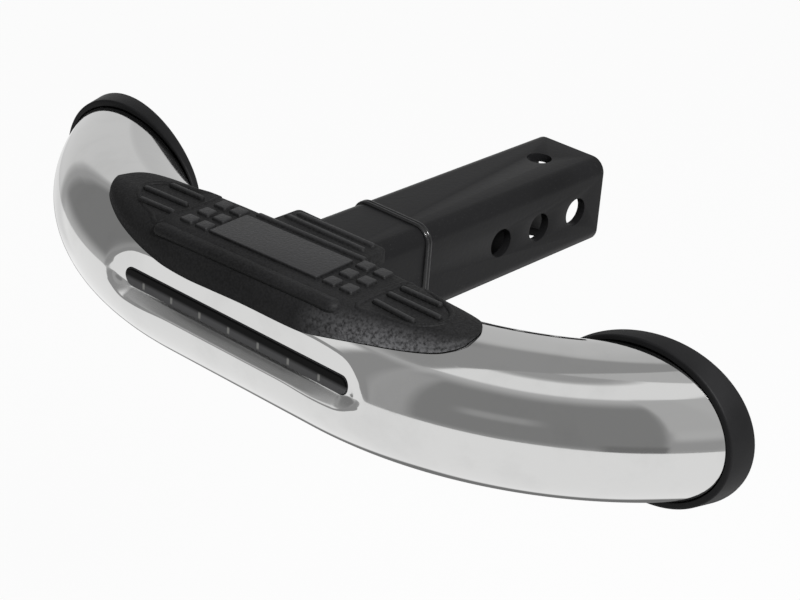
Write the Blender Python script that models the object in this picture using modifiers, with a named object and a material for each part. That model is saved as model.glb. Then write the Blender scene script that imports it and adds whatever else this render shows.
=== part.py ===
"""Hitch step: a bent stainless step tube on a square receiver tube.

Metres, +Z up. The origin is on the square tube's axis at the middle pin hole,
+X runs along the step and +Y points into the vehicle.
"""
import math

import bmesh
import bpy
from mathutils import Matrix, Vector

# Clearance between neighbouring pieces, and how far a cutter passes its work.
GAP = 0.0003
THROUGH = 0.004

# Square receiver tube.
SQUARE = 0.0508
SQUARE_WALL = 0.0048
SQUARE_CORNER = 0.0085
OPEN_END_Y = 0.0546
PIN_BORE = 0.0163
PIN_PITCH = 0.0321
TOP_BORE = 0.0140
TOP_BORE_Y = 0.02735

# Double bead around the square tube.
RING_START_Y = -0.0950
RING_WIDTH = 0.0046
RING_HEIGHT = 0.0012
BEAD_R = 0.0013

# Step tube: straight middle, then one bend each side, cut parallel to the XZ plane.
TUBE_R = 0.0381
TUBE_WALL = 0.0020
TUBE_Y = -0.1755
TUBE_Z = -0.0098
STRAIGHT_HALF = 0.0518
BEND_R = 0.1761
CUT_Y = -0.1147
TUBE_SIDES = 48
BEND_STEPS = 12
BEND_OVERRUN = math.radians(4)

# Moulded end caps: how far each outline stands out of the cut tube's own outline.
CAP_FRONT = {"side": 0.0026, "top": 0.0046, "shift": 0.0012}
CAP_REAR = {"side": 0.0039, "top": 0.0059, "shift": 0.0029}
CAP_DEPTH = 0.0098
CAP_TILT = 0.093
CAP_SEAT = 0.0012
CAP_EDGE = 0.0012
CAP_PLUG = 0.0090
CAP_PLUG_WALL = 0.0022
CAP_SIDES = 48

# Pressed pocket for the light: depth below the tube's front, floor below its axis.
POCKET_DEPTH = 0.0076
POCKET_FLOOR_Z = -0.0030
POCKET_FLAT_LOSS = 0.0073
POCKET_END_R = 0.0280
POCKET_CORNER_LOSS = 0.0053
POCKET_CORNER_R = 0.0060
POCKET_TIP_RISE = 0.75

# Light: centre height above the step tube's axis, half length and half height of the slot.
LIGHT_Z = 0.0080
SLOT_HALF_LENGTH = 0.0793
SLOT_HALF_HEIGHT = 0.0058
GASKET_LIP = 0.0012
GASKET_PROUD = 0.0014
GASKET_FLANGE = 0.0023
GASKET_THICK = 0.0012
LENS_WALL = 0.0010
LENS_FRONT = 0.0014
LENS_EDGE = 0.0004
LENS_FLANGE = 0.0036
LENS_FLANGE_THICK = 0.0015
HOUSING_DEPTH = 0.0120
HOUSING_WALL = 0.0015
BOARD_THICK = 0.0012
LED_COUNT = 7
LED_END_MARGIN = 0.01696
LED_R = 0.0011
LED_HEIGHT = 0.0010
LED_DROP = 0.0016

# Step pad: its edge on the tube, as (x, front angle, rear angle) in degrees from the tube's top.
PAD_OUTLINE = (
    (0.0000, 57.8, -49.0), (0.0390, 53.3, -49.0), (0.0575, 49.5, -48.1), (0.0710, 44.9, -44.4),
    (0.0820, 41.6, -38.8), (0.0940, 38.7, -30.9), (0.1020, 36.7, -24.8), (0.1085, 34.4, -18.8),
    (0.1135, 32.2, -13.3), (0.1170, 29.7, -7.6), (0.1200, 26.2, -0.8), (0.1216, 23.1, 4.3),
    (0.1225, 20.1, 9.8),
)
PAD_EDGE = 0.0012
PAD_BASE = 0.0024
PAD_RAISED = 0.0015
PAD_SHOULDER_FRONT = 0.0160
PAD_SHOULDER_REAR = 0.0080
PAD_ARC_STEPS = 12
PAD_STATION = 0.0110
PAD_SIDE_STEPS = 4
BAR_EDGE = 0.0006

# Raised forms of the pad, y measured from the tube's axis.
PLATE_HALF = 0.0360
PLATE_WIDTH = 0.0276
PLATE_Y = 0.0010
BLOCK = 0.0095
BLOCK_PITCH_X = 0.0110
BLOCK_PITCH_Y = 0.01235
BLOCK_FIRST_X = 0.0383
BLOCK_Y = 0.0040
GROOVE_X = 0.0650
GROOVE_WIDTH = 0.0020
GROOVE_DEPTH = 0.0008
GROOVE_HALF_Y = 0.0140
END_RIB_WIDTH = 0.0042
END_RIBS = ((-0.0085, 0.0690, 0.0940), (0.0030, 0.0690, 0.1000), (0.0140, 0.0690, 0.0910))
LIP_R = 0.0016
LIP_INSET = math.radians(7)
LIP_FIRST_X = 0.0700
LIP_LAST_X = 0.1130
LIP_STEPS = 7
FRONT_RIDGE_HALF = 0.0590
FRONT_RIDGE_Y = -0.0172
FRONT_RIDGE_WIDTH = 0.0046

# Tab of the pad over the square tube.
TAB_HALF = 0.0330
TAB_END_Y = 0.0445
TAB_SKIRT = 0.0022
TAB_RIB_WIDTH = 0.0040
TAB_RIBS = ((0.0220, 0.0310), (0.0299, 0.0270), (0.0385, 0.0250))

# Push clips under the pad: (x, y from the tube's axis).
CLIP_SPOTS = ((-0.0430, -0.0084), (0.0430, -0.0084), (-0.0430, 0.0160), (0.0430, 0.0160))
CLIP_STEM_R = 0.0030
CLIP_HEAD_R = 0.0050
CLIP_HEAD_THICK = 0.0011
CLIP_LENGTH = 0.0120

# Cord outlet behind the step tube.
GROMMET_X = 0.0400
GROMMET_NECK_R = 0.0040
GROMMET_BORE_R = 0.0015
GROMMET_FLANGE_R = 0.0060
GROMMET_FLANGE_THICK = 0.0020

# Weld along both sides and the underside of the joint.
WELD_R = 0.0042
WELD_TOP_CLEAR = 0.0130
WELD_STEPS = 8
WELD_SIDES = 12

BEND_CENTRE_Y = TUBE_Y + BEND_R
POCKET_WALL_Y = POCKET_DEPTH - TUBE_R
PAD_BASE_Z = TUBE_Z + TUBE_R + PAD_BASE
PAD_TOP_Z = PAD_BASE_Z + PAD_RAISED
BORE_R = TUBE_R - TUBE_WALL

# Turns a shape drawn in X and Y so that its Z runs along the named axis.
AXES = {
    'X': Matrix(((0, 0, 1, 0), (1, 0, 0, 0), (0, 1, 0, 0), (0, 0, 0, 1))),
    'Y': Matrix(((1, 0, 0, 0), (0, 0, -1, 0), (0, 1, 0, 0), (0, 0, 0, 1))),
    'Z': Matrix.Identity(4),
}


def clear_scene():
    for old in list(bpy.data.objects):
        bpy.data.objects.remove(old, do_unlink=True)


def collection(name):
    made = bpy.data.collections.new(name)
    bpy.context.scene.collection.children.link(made)
    return made


def material(name, colour, metallic, roughness):
    made = bpy.data.materials.new(name)
    made.use_nodes = True
    shader = made.node_tree.nodes["Principled BSDF"]
    shader.inputs["Base Color"].default_value = (*colour, 1.0)
    shader.inputs["Metallic"].default_value = metallic
    shader.inputs["Roughness"].default_value = roughness
    made.diffuse_color = (*colour, 1.0)
    return made


def placed(name, mesh, home, mat=None):
    """Object of a mesh; without a material it is a cutter or another hidden helper."""
    made = bpy.data.objects.new(name, mesh)
    home.objects.link(made)
    if mat is None:
        made.hide_render = True
        made.display_type = 'WIRE'
    elif not mesh.materials:
        mesh.materials.append(mat)
    return made


def mesh_object(name, bm, home, mat=None):
    bmesh.ops.recalc_face_normals(bm, faces=bm.faces[:])
    mesh = bpy.data.meshes.new(name)
    bm.to_mesh(mesh)
    bm.free()
    return placed(name, mesh, home, mat)


def evaluated_mesh(source):
    bpy.context.view_layer.update()
    graph = bpy.context.evaluated_depsgraph_get()
    return bpy.data.meshes.new_from_object(source.evaluated_get(graph))


def curve_as_mesh(name, curve, matrix, home, mat):
    """A curve's solid as a mesh object with its caps welded on."""
    draft = bpy.data.objects.new(name + "_draft", curve)
    draft.matrix_world = matrix
    bpy.context.scene.collection.objects.link(draft)
    bm = bmesh.new()
    bm.from_mesh(evaluated_mesh(draft))
    bmesh.ops.remove_doubles(bm, verts=bm.verts[:], dist=1e-6)
    made = mesh_object(name, bm, home, mat)
    made.matrix_world = draft.matrix_world
    bpy.data.objects.remove(draft, do_unlink=True)
    return made


def prism(name, outlines, axis, start, end, home, mat=None):
    """Flat outlines drawn across an axis and extruded along it; a nested outline is a hole."""
    curve = bpy.data.curves.new(name, 'CURVE')
    curve.dimensions = '2D'
    curve.fill_mode = 'BOTH'
    curve.extrude = (end - start) / 2
    for outline in outlines:
        spline = curve.splines.new('POLY')
        spline.points.add(len(outline) - 1)
        spline.use_cyclic_u = True
        for point, (u, v) in zip(spline.points, outline):
            point.co = (u, v, 0.0, 1.0)
    middle = Vector((axis == 'X', axis == 'Y', axis == 'Z')) * (start + end) / 2
    return curve_as_mesh(name, curve, Matrix.Translation(middle) @ AXES[axis], home, mat)


def wire(name, points, radius, sides, home, mat=None, cyclic=False):
    """Round rod along a line of points."""
    curve = bpy.data.curves.new(name, 'CURVE')
    curve.dimensions = '3D'
    curve.bevel_depth = radius
    curve.bevel_resolution = sides // 2 - 2
    curve.use_fill_caps = True
    spline = curve.splines.new('POLY')
    spline.points.add(len(points) - 1)
    spline.use_cyclic_u = cyclic
    for point, place in zip(spline.points, points):
        point.co = (*place, 1.0)
    return curve_as_mesh(name, curve, Matrix.Identity(4), home, mat)


def blocks(name, boxes, home, mat=None):
    """Boxes given by their lowest and highest corners, in one mesh."""
    bm = bmesh.new()
    for low, high in boxes:
        size = Vector(high) - Vector(low)
        middle = (Vector(high) + Vector(low)) / 2
        bmesh.ops.create_cube(bm, size=1.0, matrix=Matrix.Translation(middle) @ Matrix.Diagonal((*size, 1.0)))
    return mesh_object(name, bm, home, mat)


def cylinders(name, rods, sides, home, mat=None):
    """Cylinders given by axis, radius, start, end and the place across the axis, in one mesh."""
    bm = bmesh.new()
    for axis, radius, start, end, place in rods:
        middle = Vector(place)
        middle["XYZ".index(axis)] = (start + end) / 2
        bmesh.ops.create_cone(bm, cap_ends=True, segments=sides, radius1=radius, radius2=radius,
                              depth=end - start, matrix=Matrix.Translation(middle) @ AXES[axis])
    return mesh_object(name, bm, home, mat)


def turned_profile(name, profile, closed):
    """Mesh of a turned piece's profile, drawn at +X from its top down."""
    bm = bmesh.new()
    points = [bm.verts.new((radius, 0.0, height)) for radius, height in profile]
    for first, second in zip(points, points[1:]):
        bm.edges.new((first, second))
    if closed:
        bm.edges.new((points[-1], points[0]))
    mesh = bpy.data.meshes.new(name)
    bm.to_mesh(mesh)
    bm.free()
    return mesh


def turned(name, mesh, steps, matrix, home, mat):
    made = placed(name, mesh, home, mat)
    made.matrix_world = matrix
    mod = made.modifiers.new("Turn", 'SCREW')
    mod.steps = steps
    mod.render_steps = steps
    mod.use_merge_vertices = True
    mod.merge_threshold = 1e-5
    return made


def loft(rings):
    """Mesh through equal rings of unlike shape, with flat ends."""
    bm = bmesh.new()
    rows = [[bm.verts.new(point) for point in ring] for ring in rings]
    for first, second in zip(rows, rows[1:]):
        for i in range(len(first)):
            j = (i + 1) % len(first)
            bm.faces.new((first[i], first[j], second[j], second[i]))
    bm.faces.new(rows[0][::-1])
    bm.faces.new(rows[-1])
    return bm


def boolean(target, tool, operation='DIFFERENCE'):
    mod = target.modifiers.new("Boolean " + tool.name, 'BOOLEAN')
    mod.operation = operation
    mod.solver = 'EXACT'
    mod.object = tool


def bevel(target, width, segments):
    mod = target.modifiers.new("Edges", 'BEVEL')
    mod.width = width
    mod.segments = segments
    mod.limit_method = 'ANGLE'
    mod.angle_limit = math.radians(40)


def rounded_box(half_u, half_v, corner, steps, du=0.0, dv=0.0):
    """Outline of a rectangle with round corners."""
    points = []
    for quarter in range(4):
        cu = (half_u - corner) * (1 if quarter in (0, 3) else -1)
        cv = (half_v - corner) * (1 if quarter in (0, 1) else -1)
        for i in range(steps + 1):
            turn = math.pi / 2 * (quarter + i / steps)
            points.append((du + cu + corner * math.cos(turn), dv + cv + corner * math.sin(turn)))
    return points


def obround(half_length, half_height, middle_v, steps=10):
    straight = half_length - half_height
    points = []
    for side in (1, -1):
        for i in range(steps + 1):
            turn = math.pi * i / steps - math.pi / 2
            points.append((side * (straight + half_height * math.cos(turn)),
                           middle_v + side * half_height * math.sin(turn)))
    return points


def centreline():
    """Middle line of the step tube, carried past both cuts."""
    last = math.acos((BEND_CENTRE_Y - CUT_Y) / (BEND_R + TUBE_R)) + BEND_OVERRUN
    swings = [last * i / BEND_STEPS for i in range(BEND_STEPS + 1)]
    half = [(STRAIGHT_HALF + BEND_R * math.sin(a), BEND_CENTRE_Y - BEND_R * math.cos(a)) for a in swings]
    left = [Vector((-x, y, TUBE_Z)) for x, y in reversed(half)]
    return left + [Vector((x, y, TUBE_Z)) for x, y in half]


def swept_tube(name, radius, home, mat=None):
    return wire(name, centreline(), radius, TUBE_SIDES, home, mat)


def tube_section(turn, radius, y):
    """X and Z where a line along the right bend, at an angle from its top over the outside, meets y."""
    rho = BEND_R + radius * math.sin(turn)
    return (STRAIGHT_HALF + math.sqrt(rho ** 2 - (BEND_CENTRE_Y - y) ** 2),
            TUBE_Z + radius * math.cos(turn))


def pocket_half(grow):
    """Right half of the pocket's two outlines: the wall in plan and the floor from the front."""
    flat = SLOT_HALF_LENGTH - POCKET_FLAT_LOSS
    wall = [(0.0, TUBE_Y + POCKET_WALL_Y + grow)]
    for i in range(9):
        turn = math.radians(78) * i / 8
        wall.append((flat + POCKET_END_R * math.sin(turn),
                     TUBE_Y + POCKET_WALL_Y + grow - POCKET_END_R * (1 - math.cos(turn))))
    corner_x = SLOT_HALF_LENGTH - POCKET_CORNER_LOSS
    corner_z = TUBE_Z + POCKET_FLOOR_Z + POCKET_CORNER_R
    reach = POCKET_CORNER_R + grow
    floor = [(0.0, corner_z - reach)]
    for i in range(9):
        turn = math.radians(-90 + 84 * i / 8)
        floor.append((corner_x + reach * math.cos(turn), corner_z + reach * math.sin(turn)))
    x, z = floor[-1]
    floor.append((x + 2 * TUBE_R / 3, z + 2 * TUBE_R / 3 * POCKET_TIP_RISE))
    return wall, floor


def pocket(name, grow, home):
    """Cavity of the pressed pocket; grow gives the larger one that leaves the sheet's thickness."""
    wall, floor = pocket_half(grow)
    out_y = TUBE_Y - 2 * TUBE_R
    top_z = TUBE_Z + 2 * TUBE_R
    plan = [(-x, y) for x, y in wall[:0:-1]] + wall
    plan += [(wall[-1][0], out_y), (-wall[-1][0], out_y)]
    front = [(-x, z) for x, z in floor[:0:-1]] + floor
    front += [(floor[-1][0], top_z), (-floor[-1][0], top_z)]
    made = prism(name, [front], 'Y', out_y - THROUGH, TUBE_Y, home)
    boolean(made, prism(name + "_plan", [plan], 'Z', TUBE_Z - TUBE_R, top_z + THROUGH, home), 'INTERSECT')
    return made


def build_step_tube(home, cutters, mats):
    tube = swept_tube("step_tube", TUBE_R, home, mats["polished_stainless"])
    wide = 2 * BEND_R
    boolean(tube, blocks("cut_tube_ends", [((-wide, CUT_Y + CAP_SEAT - GAP, -wide), (wide, wide, wide))],
                         cutters))
    boolean(tube, pocket("cut_pocket", 0.0, cutters))
    bore = swept_tube("cut_tube_bore", BORE_R, cutters)
    boolean(bore, pocket("cut_pocket_back", TUBE_WALL, cutters))
    boolean(tube, bore)
    face = TUBE_Y + POCKET_WALL_Y
    boolean(tube, prism("cut_light_slot", [obround(SLOT_HALF_LENGTH, SLOT_HALF_HEIGHT, TUBE_Z + LIGHT_Z)],
                        'Y', face - THROUGH, face + THROUGH, cutters))
    rods = [('Z', CLIP_STEM_R + GAP, TUBE_Z + TUBE_R / 2, TUBE_Z + TUBE_R + THROUGH, (x, TUBE_Y + y, 0.0))
            for x, y in CLIP_SPOTS]
    rods.append(('Y', GROMMET_NECK_R + GAP, TUBE_Y + TUBE_R / 2, TUBE_Y + TUBE_R + THROUGH,
                 (GROMMET_X, 0.0, TUBE_Z)))
    boolean(tube, cylinders("cut_tube_holes", rods, 20, cutters))


def cap_ring(margins, y, tilt):
    """Outline of the right cap: the cut tube's own outline, made larger and moved outward."""
    turns = [2 * math.pi * i / CAP_SIDES for i in range(CAP_SIDES)]
    steel = [tube_section(turn, TUBE_R, CUT_Y) for turn in turns]
    low = min(x for x, z in steel)
    high = max(x for x, z in steel)
    middle = (low + high) / 2
    wide = 1 + margins["side"] / (high - middle)
    tall = 1 + margins["top"] / TUBE_R
    points = []
    for x, z in steel:
        out = middle + (x - middle) * wide + margins["shift"]
        points.append(Vector((out, y + (out - middle) * tilt, TUBE_Z + (z - TUBE_Z) * tall)))
    return points


def build_end_caps(home, cutters, mats):
    body = mesh_object("add_cap_body", loft([cap_ring(CAP_FRONT, CUT_Y, 0.0),
                                             cap_ring(CAP_REAR, CUT_Y + CAP_DEPTH, CAP_TILT)]), cutters)
    bevel(body, CAP_EDGE, 2)
    wide = 2 * BEND_R

    def slab(name, radius, start, end):
        made = swept_tube(name, radius, cutters)
        boolean(made, blocks(name + "_slab", [((0.0, start, -wide), (wide, end, wide))], cutters), 'INTERSECT')
        return made

    seat = slab("cut_seat", TUBE_R + GAP, CUT_Y - 3 * THROUGH, CUT_Y + CAP_SEAT)
    plug = slab("add_plug", BORE_R - 2 * GAP, CUT_Y - CAP_PLUG, CUT_Y + CAP_SEAT * 1.5)
    hollow = slab("cut_plug", BORE_R - GAP - CAP_PLUG_WALL, CUT_Y - CAP_PLUG - THROUGH, CUT_Y + CAP_SEAT / 2)
    boolean(body, seat)
    boolean(body, plug, 'UNION')
    boolean(body, hollow)
    mesh = evaluated_mesh(body)
    mesh.name = "end_cap"
    placed("end_cap_right", mesh, home, mats["cap_plastic"])
    left = placed("end_cap_left", mesh, home, mats["cap_plastic"])
    level = Matrix.Translation((0.0, 0.0, TUBE_Z))
    left.matrix_world = level @ Matrix.Rotation(math.pi, 4, 'Y') @ level.inverted()


def light_prism(name, grow, start, end, home, mat=None):
    return prism(name, [obround(SLOT_HALF_LENGTH + grow, SLOT_HALF_HEIGHT + grow, TUBE_Z + LIGHT_Z)],
                 'Y', start, end, home, mat)


def build_light(home, cutters, mats):
    face = TUBE_Y + POCKET_WALL_Y
    back = face + TUBE_WALL + GAP
    lip_in = -GAP - GASKET_LIP
    gasket_end = back + GASKET_THICK
    gasket = light_prism("light_gasket", GASKET_FLANGE, back, gasket_end, home, mats["gasket_rubber"])
    lip = light_prism("add_gasket_lip", -GAP, face - GASKET_PROUD, back + GASKET_THICK / 2, cutters)
    boolean(gasket, lip, 'UNION')
    boolean(gasket, light_prism("cut_gasket", lip_in, face - THROUGH, gasket_end + THROUGH, cutters))

    neck = lip_in - GAP
    hollow = neck - LENS_WALL
    flange = neck + LENS_FLANGE
    front = face - GASKET_PROUD + GAP
    flange_start = gasket_end + GAP
    flange_end = flange_start + LENS_FLANGE_THICK
    lens = light_prism("light_lens", neck, front, flange_start + LENS_FLANGE_THICK / 2, home,
                       mats["smoked_lens"])
    bevel(lens, LENS_EDGE, 2)
    boolean(lens, light_prism("add_lens_flange", flange, flange_start, flange_end, cutters), 'UNION')
    boolean(lens, light_prism("cut_lens", hollow, front + LENS_FRONT, flange_end + THROUGH, cutters))

    rim = flange_end + GAP
    end = rim + HOUSING_DEPTH
    housing = light_prism("light_housing", flange, rim, end, home, mats["housing_plastic"])
    bevel(housing, HOUSING_WALL / 2, 1)
    boolean(housing, light_prism("cut_housing", flange - HOUSING_WALL, rim - THROUGH, end - HOUSING_WALL,
                                 cutters))

    led_tip = front + LENS_FRONT + GAP
    board = led_tip + LED_HEIGHT + GAP
    light_prism("led_board", hollow - GAP, board, board + BOARD_THICK, home, mats["circuit_board"])
    profile = ((0.0, LED_HEIGHT), (LED_R * 0.4, LED_HEIGHT), (LED_R * 0.8, LED_HEIGHT * 0.85),
               (LED_R, LED_HEIGHT * 0.55), (LED_R, 0.0), (0.0, 0.0))
    lamp = turned_profile("led", profile, False)
    pitch = 2 * (SLOT_HALF_LENGTH - LED_END_MARGIN) / (LED_COUNT - 1)
    for i in range(LED_COUNT):
        place = Vector(((i - (LED_COUNT - 1) / 2) * pitch, board - GAP, TUBE_Z + LIGHT_Z - LED_DROP))
        turned("led_%d" % (i + 1), lamp, 16, Matrix.Translation(place) @ AXES['Y'], home, mats["lamp"])


def build_grommet(home, mats):
    outside = -GAP
    inside = TUBE_R - math.sqrt(BORE_R ** 2 - GROMMET_FLANGE_R ** 2) + GAP
    profile = ((GROMMET_BORE_R, inside + GROMMET_FLANGE_THICK),
               (GROMMET_NECK_R, inside + GROMMET_FLANGE_THICK), (GROMMET_FLANGE_R, inside),
               (GROMMET_NECK_R, inside), (GROMMET_NECK_R, outside), (GROMMET_FLANGE_R, outside),
               (GROMMET_FLANGE_R, outside - GROMMET_FLANGE_THICK / 2),
               (GROMMET_FLANGE_R * 0.8, outside - GROMMET_FLANGE_THICK),
               (GROMMET_BORE_R, outside - GROMMET_FLANGE_THICK))
    place = Vector((GROMMET_X, TUBE_Y + TUBE_R, TUBE_Z))
    turned("cable_grommet", turned_profile("cable_grommet", profile, True), 24,
           Matrix.Translation(place) @ AXES['Y'], home, mats["gasket_rubber"])


def pad_edge_turn(x, column):
    """Angle of the pad's edge at a distance from the middle; column 1 is the front, 2 the rear."""
    rows = PAD_OUTLINE
    k = max(i for i in range(len(rows) - 1) if rows[i][0] <= x + 1e-9)

    def slope(i):
        before = rows[max(i - 1, 0)]
        after = rows[min(i + 1, len(rows) - 1)]
        return 0.0 if i == 0 else (after[column] - before[column]) / (after[0] - before[0])

    span = rows[k + 1][0] - rows[k][0]
    t = (x - rows[k][0]) / span
    y0 = rows[k][column]
    y1 = rows[k + 1][column]
    turn = (y0 + t * t * (3 - 2 * t) * (y1 - y0) + t * (1 - t) ** 2 * slope(k) * span
            + t * t * (t - 1) * slope(k + 1) * span)
    return math.radians(turn)


def on_tube(x, turn, radius):
    """Place round the step tube above a distance along x, turn from its top over the front."""
    run = max(abs(x) - STRAIGHT_HALF, 0.0)
    rho = BEND_R + radius * math.sin(turn)
    return Vector((x, BEND_CENTRE_Y - math.sqrt(rho ** 2 - run ** 2), TUBE_Z + radius * math.cos(turn)))


def pad_section(x):
    """Closed ring of the pad across the step tube."""
    far = abs(x)
    first = pad_edge_turn(far, 2)
    last = pad_edge_turn(far, 1)
    points = [on_tube(x, first + (last - first) * i / PAD_ARC_STEPS, TUBE_R + GAP)
              for i in range(PAD_ARC_STEPS + 1)]
    front = points[-1]
    rear = points[0]
    thin = max(1.0 - (far / PAD_OUTLINE[-1][0]) ** 12, 0.0)
    base = PAD_BASE_Z - (1 - thin) * (PAD_BASE - PAD_EDGE)
    width = rear.y - front.y
    for i in range(PAD_SIDE_STEPS + 1):
        turn = math.pi / 2 * i / PAD_SIDE_STEPS
        y = front.y + min(PAD_SHOULDER_FRONT, width * 0.40) * (1 - math.cos(turn))
        low = front.z + PAD_EDGE
        points.append(Vector((x, y, low + (base - low) * math.sin(turn))))
    for i in range(PAD_SIDE_STEPS + 1):
        turn = math.pi / 2 * (1 - i / PAD_SIDE_STEPS)
        y = rear.y - min(PAD_SHOULDER_REAR, width * 0.25) * (1 - math.cos(turn))
        low = rear.z + PAD_EDGE
        points.append(Vector((x, y, low + (base - low) * math.sin(turn))))
    return points


def pad_stations():
    """Distances from the middle of the pad's sections, close together where it bends and ends."""
    marks = []
    for before, after in zip(PAD_OUTLINE, PAD_OUTLINE[1:]):
        parts = max(1, round((after[0] - before[0]) / PAD_STATION))
        marks += [before[0] + (after[0] - before[0]) * i / parts for i in range(parts)]
    return marks + [PAD_OUTLINE[-1][0]]


def raised_boxes():
    """Plate, blocks, ribs and front ridge of the pad as boxes sunk into its base."""
    low = PAD_BASE_Z - PAD_BASE / 3

    def bar(cx, y, half_length, half_width, top=PAD_TOP_Z):
        return ((cx - half_length, TUBE_Y + y - half_width, low), (cx + half_length, TUBE_Y + y + half_width, top))

    boxes = [bar(0.0, PLATE_Y, PLATE_HALF, PLATE_WIDTH / 2),
             bar(0.0, FRONT_RIDGE_Y, FRONT_RIDGE_HALF, FRONT_RIDGE_WIDTH / 2, PAD_TOP_Z - PAD_RAISED / 4)]
    for side in (-1, 1):
        for column in range(2):
            x = side * (BLOCK_FIRST_X + BLOCK / 2 + BLOCK_PITCH_X * column)
            boxes += [bar(x, BLOCK_Y + BLOCK_PITCH_Y * row, BLOCK / 2, BLOCK / 2) for row in (-1, 0, 1)]
        boxes += [bar(side * (start + end) / 2, y, (end - start) / 2, END_RIB_WIDTH / 2)
                  for y, start, end in END_RIBS]
    boxes += [bar(0.0, y, half, TAB_RIB_WIDTH / 2) for y, half in TAB_RIBS]
    return boxes


def lip_path(side):
    """Middle line of the horseshoe lip inside the pad's end: along the front, round, and back."""
    span = LIP_LAST_X - LIP_FIRST_X
    marks = [LIP_FIRST_X + span * math.sin(math.pi / 2 * i / LIP_STEPS) for i in range(LIP_STEPS + 1)]
    front = [on_tube(side * x, pad_edge_turn(x, 1) - LIP_INSET * 2, TUBE_R) for x in marks]
    rear = [on_tube(side * x, pad_edge_turn(x, 2) + LIP_INSET, TUBE_R) for x in marks]
    path = front + rear[::-1]
    return [Vector((p.x, p.y, PAD_BASE_Z - LIP_R * 0.25)) for p in path]


def build_pad(home, cutters, mats, grown_tube, square):
    stations = pad_stations()
    xs = [-x for x in stations[:0:-1]] + stations
    pad = mesh_object("step_pad", loft([pad_section(x) for x in xs]), home, mats["pad_rubber"])

    tab_half = TAB_END_Y / 2
    outline = rounded_box(TAB_HALF, tab_half, 0.003, 4, 0.0, TUBE_Y + tab_half)
    tab = prism("add_tab", [outline], 'Z', SQUARE / 2 - TAB_SKIRT, PAD_BASE_Z - 0.00005, cutters)
    bevel(tab, 0.0010, 2)
    boolean(tab, grown_tube)
    boolean(pad, tab, 'UNION')
    boolean(pad, square)

    raised = blocks("add_raised", raised_boxes(), cutters)
    bevel(raised, BAR_EDGE, 2)
    boolean(pad, raised, 'UNION')
    for side in (-1, 1):
        lip = wire("add_lip_left" if side < 0 else "add_lip_right", lip_path(side), LIP_R, 8, cutters)
        boolean(pad, lip, 'UNION')
    grooves = [((side * GROOVE_X - GROOVE_WIDTH / 2, TUBE_Y - GROOVE_HALF_Y, PAD_BASE_Z - GROOVE_DEPTH),
                (side * GROOVE_X + GROOVE_WIDTH / 2, TUBE_Y + GROOVE_HALF_Y, PAD_TOP_Z + THROUGH))
               for side in (-1, 1)]
    boolean(pad, blocks("cut_grooves", grooves, cutters))
    top = TUBE_Z + TUBE_R + CLIP_HEAD_THICK + 2 * GAP
    rods = [('Z', CLIP_HEAD_R + GAP, TUBE_Z + TUBE_R / 2, top, (x, TUBE_Y + y, 0.0)) for x, y in CLIP_SPOTS]
    boolean(pad, cylinders("cut_clip_heads", rods, 20, cutters))


def build_clips(home, mats):
    head = CLIP_HEAD_THICK
    barb = -CLIP_LENGTH * 0.72
    profile = ((0.0, head), (CLIP_HEAD_R, head), (CLIP_HEAD_R, 0.0), (CLIP_STEM_R, 0.0),
               (CLIP_STEM_R * 0.8, barb), (CLIP_STEM_R * 1.25, barb), (CLIP_STEM_R * 0.5, -CLIP_LENGTH),
               (0.0, -CLIP_LENGTH))
    mesh = turned_profile("pad_clip", profile, False)
    for i, (x, y) in enumerate(CLIP_SPOTS):
        place = Vector((x, TUBE_Y + y, TUBE_Z + TUBE_R + GAP))
        turned("pad_clip_%d" % (i + 1), mesh, 20, Matrix.Translation(place), home, mats["clip_plastic"])


def build_receiver(home, cutters, mats, grown_tube):
    half = SQUARE / 2
    inner = rounded_box(half - SQUARE_WALL, half - SQUARE_WALL, SQUARE_CORNER - SQUARE_WALL, 5)
    tube = prism("receiver_tube", [rounded_box(half, half, SQUARE_CORNER, 5), inner], 'Y', TUBE_Y, OPEN_END_Y,
                 home, mats["black_powder_coat"])
    reach = half + THROUGH
    rods = [('X', PIN_BORE / 2, -reach, reach, (0.0, row * PIN_PITCH, 0.0)) for row in (-1, 0, 1)]
    boolean(tube, cylinders("cut_pin_bores", rods, 32, cutters))
    boolean(tube, cylinders("cut_top_bore", [('Z', TOP_BORE / 2, -reach, reach, (0.0, TOP_BORE_Y, 0.0))], 32,
                            cutters))
    boolean(tube, grown_tube)


def build_stop_ring(home, cutters, mats, square):
    grow = GAP + RING_HEIGHT - BEAD_R
    half = SQUARE / 2 + grow
    outline = rounded_box(half, half, SQUARE_CORNER + grow, 5)

    def bead(name, y, where, mat=None):
        return wire(name, [Vector((x, y, z)) for x, z in outline], BEAD_R, 12, where, mat, cyclic=True)

    ring = bead("stop_ring", RING_START_Y + BEAD_R, home, mats["gloss_black"])
    boolean(ring, bead("add_second_bead", RING_START_Y + RING_WIDTH - BEAD_R, cutters), 'UNION')
    boolean(ring, square)


def build_weld(home, cutters, mats, square):
    half = SQUARE / 2 + GAP
    top = SQUARE / 2 - WELD_TOP_CLEAR
    outline = rounded_box(half, half, SQUARE_CORNER + GAP, 5)
    lower = [(x, z) for x, z in outline if z < 0]
    rise = [lower[0][1] + (top - lower[0][1]) * i / WELD_STEPS for i in range(1, WELD_STEPS + 1)]
    path = [(-half, z) for z in reversed(rise)] + lower + [(half, z) for z in rise]
    points = [Vector((x, TUBE_Y + math.sqrt(TUBE_R ** 2 - (z - TUBE_Z) ** 2), z)) for x, z in path]
    weld = wire("weld_bead", points, WELD_R, WELD_SIDES, home, mats["weld_steel"])
    boolean(weld, square)
    boolean(weld, swept_tube("cut_weld_tube", TUBE_R + 2 * GAP, cutters))


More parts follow.
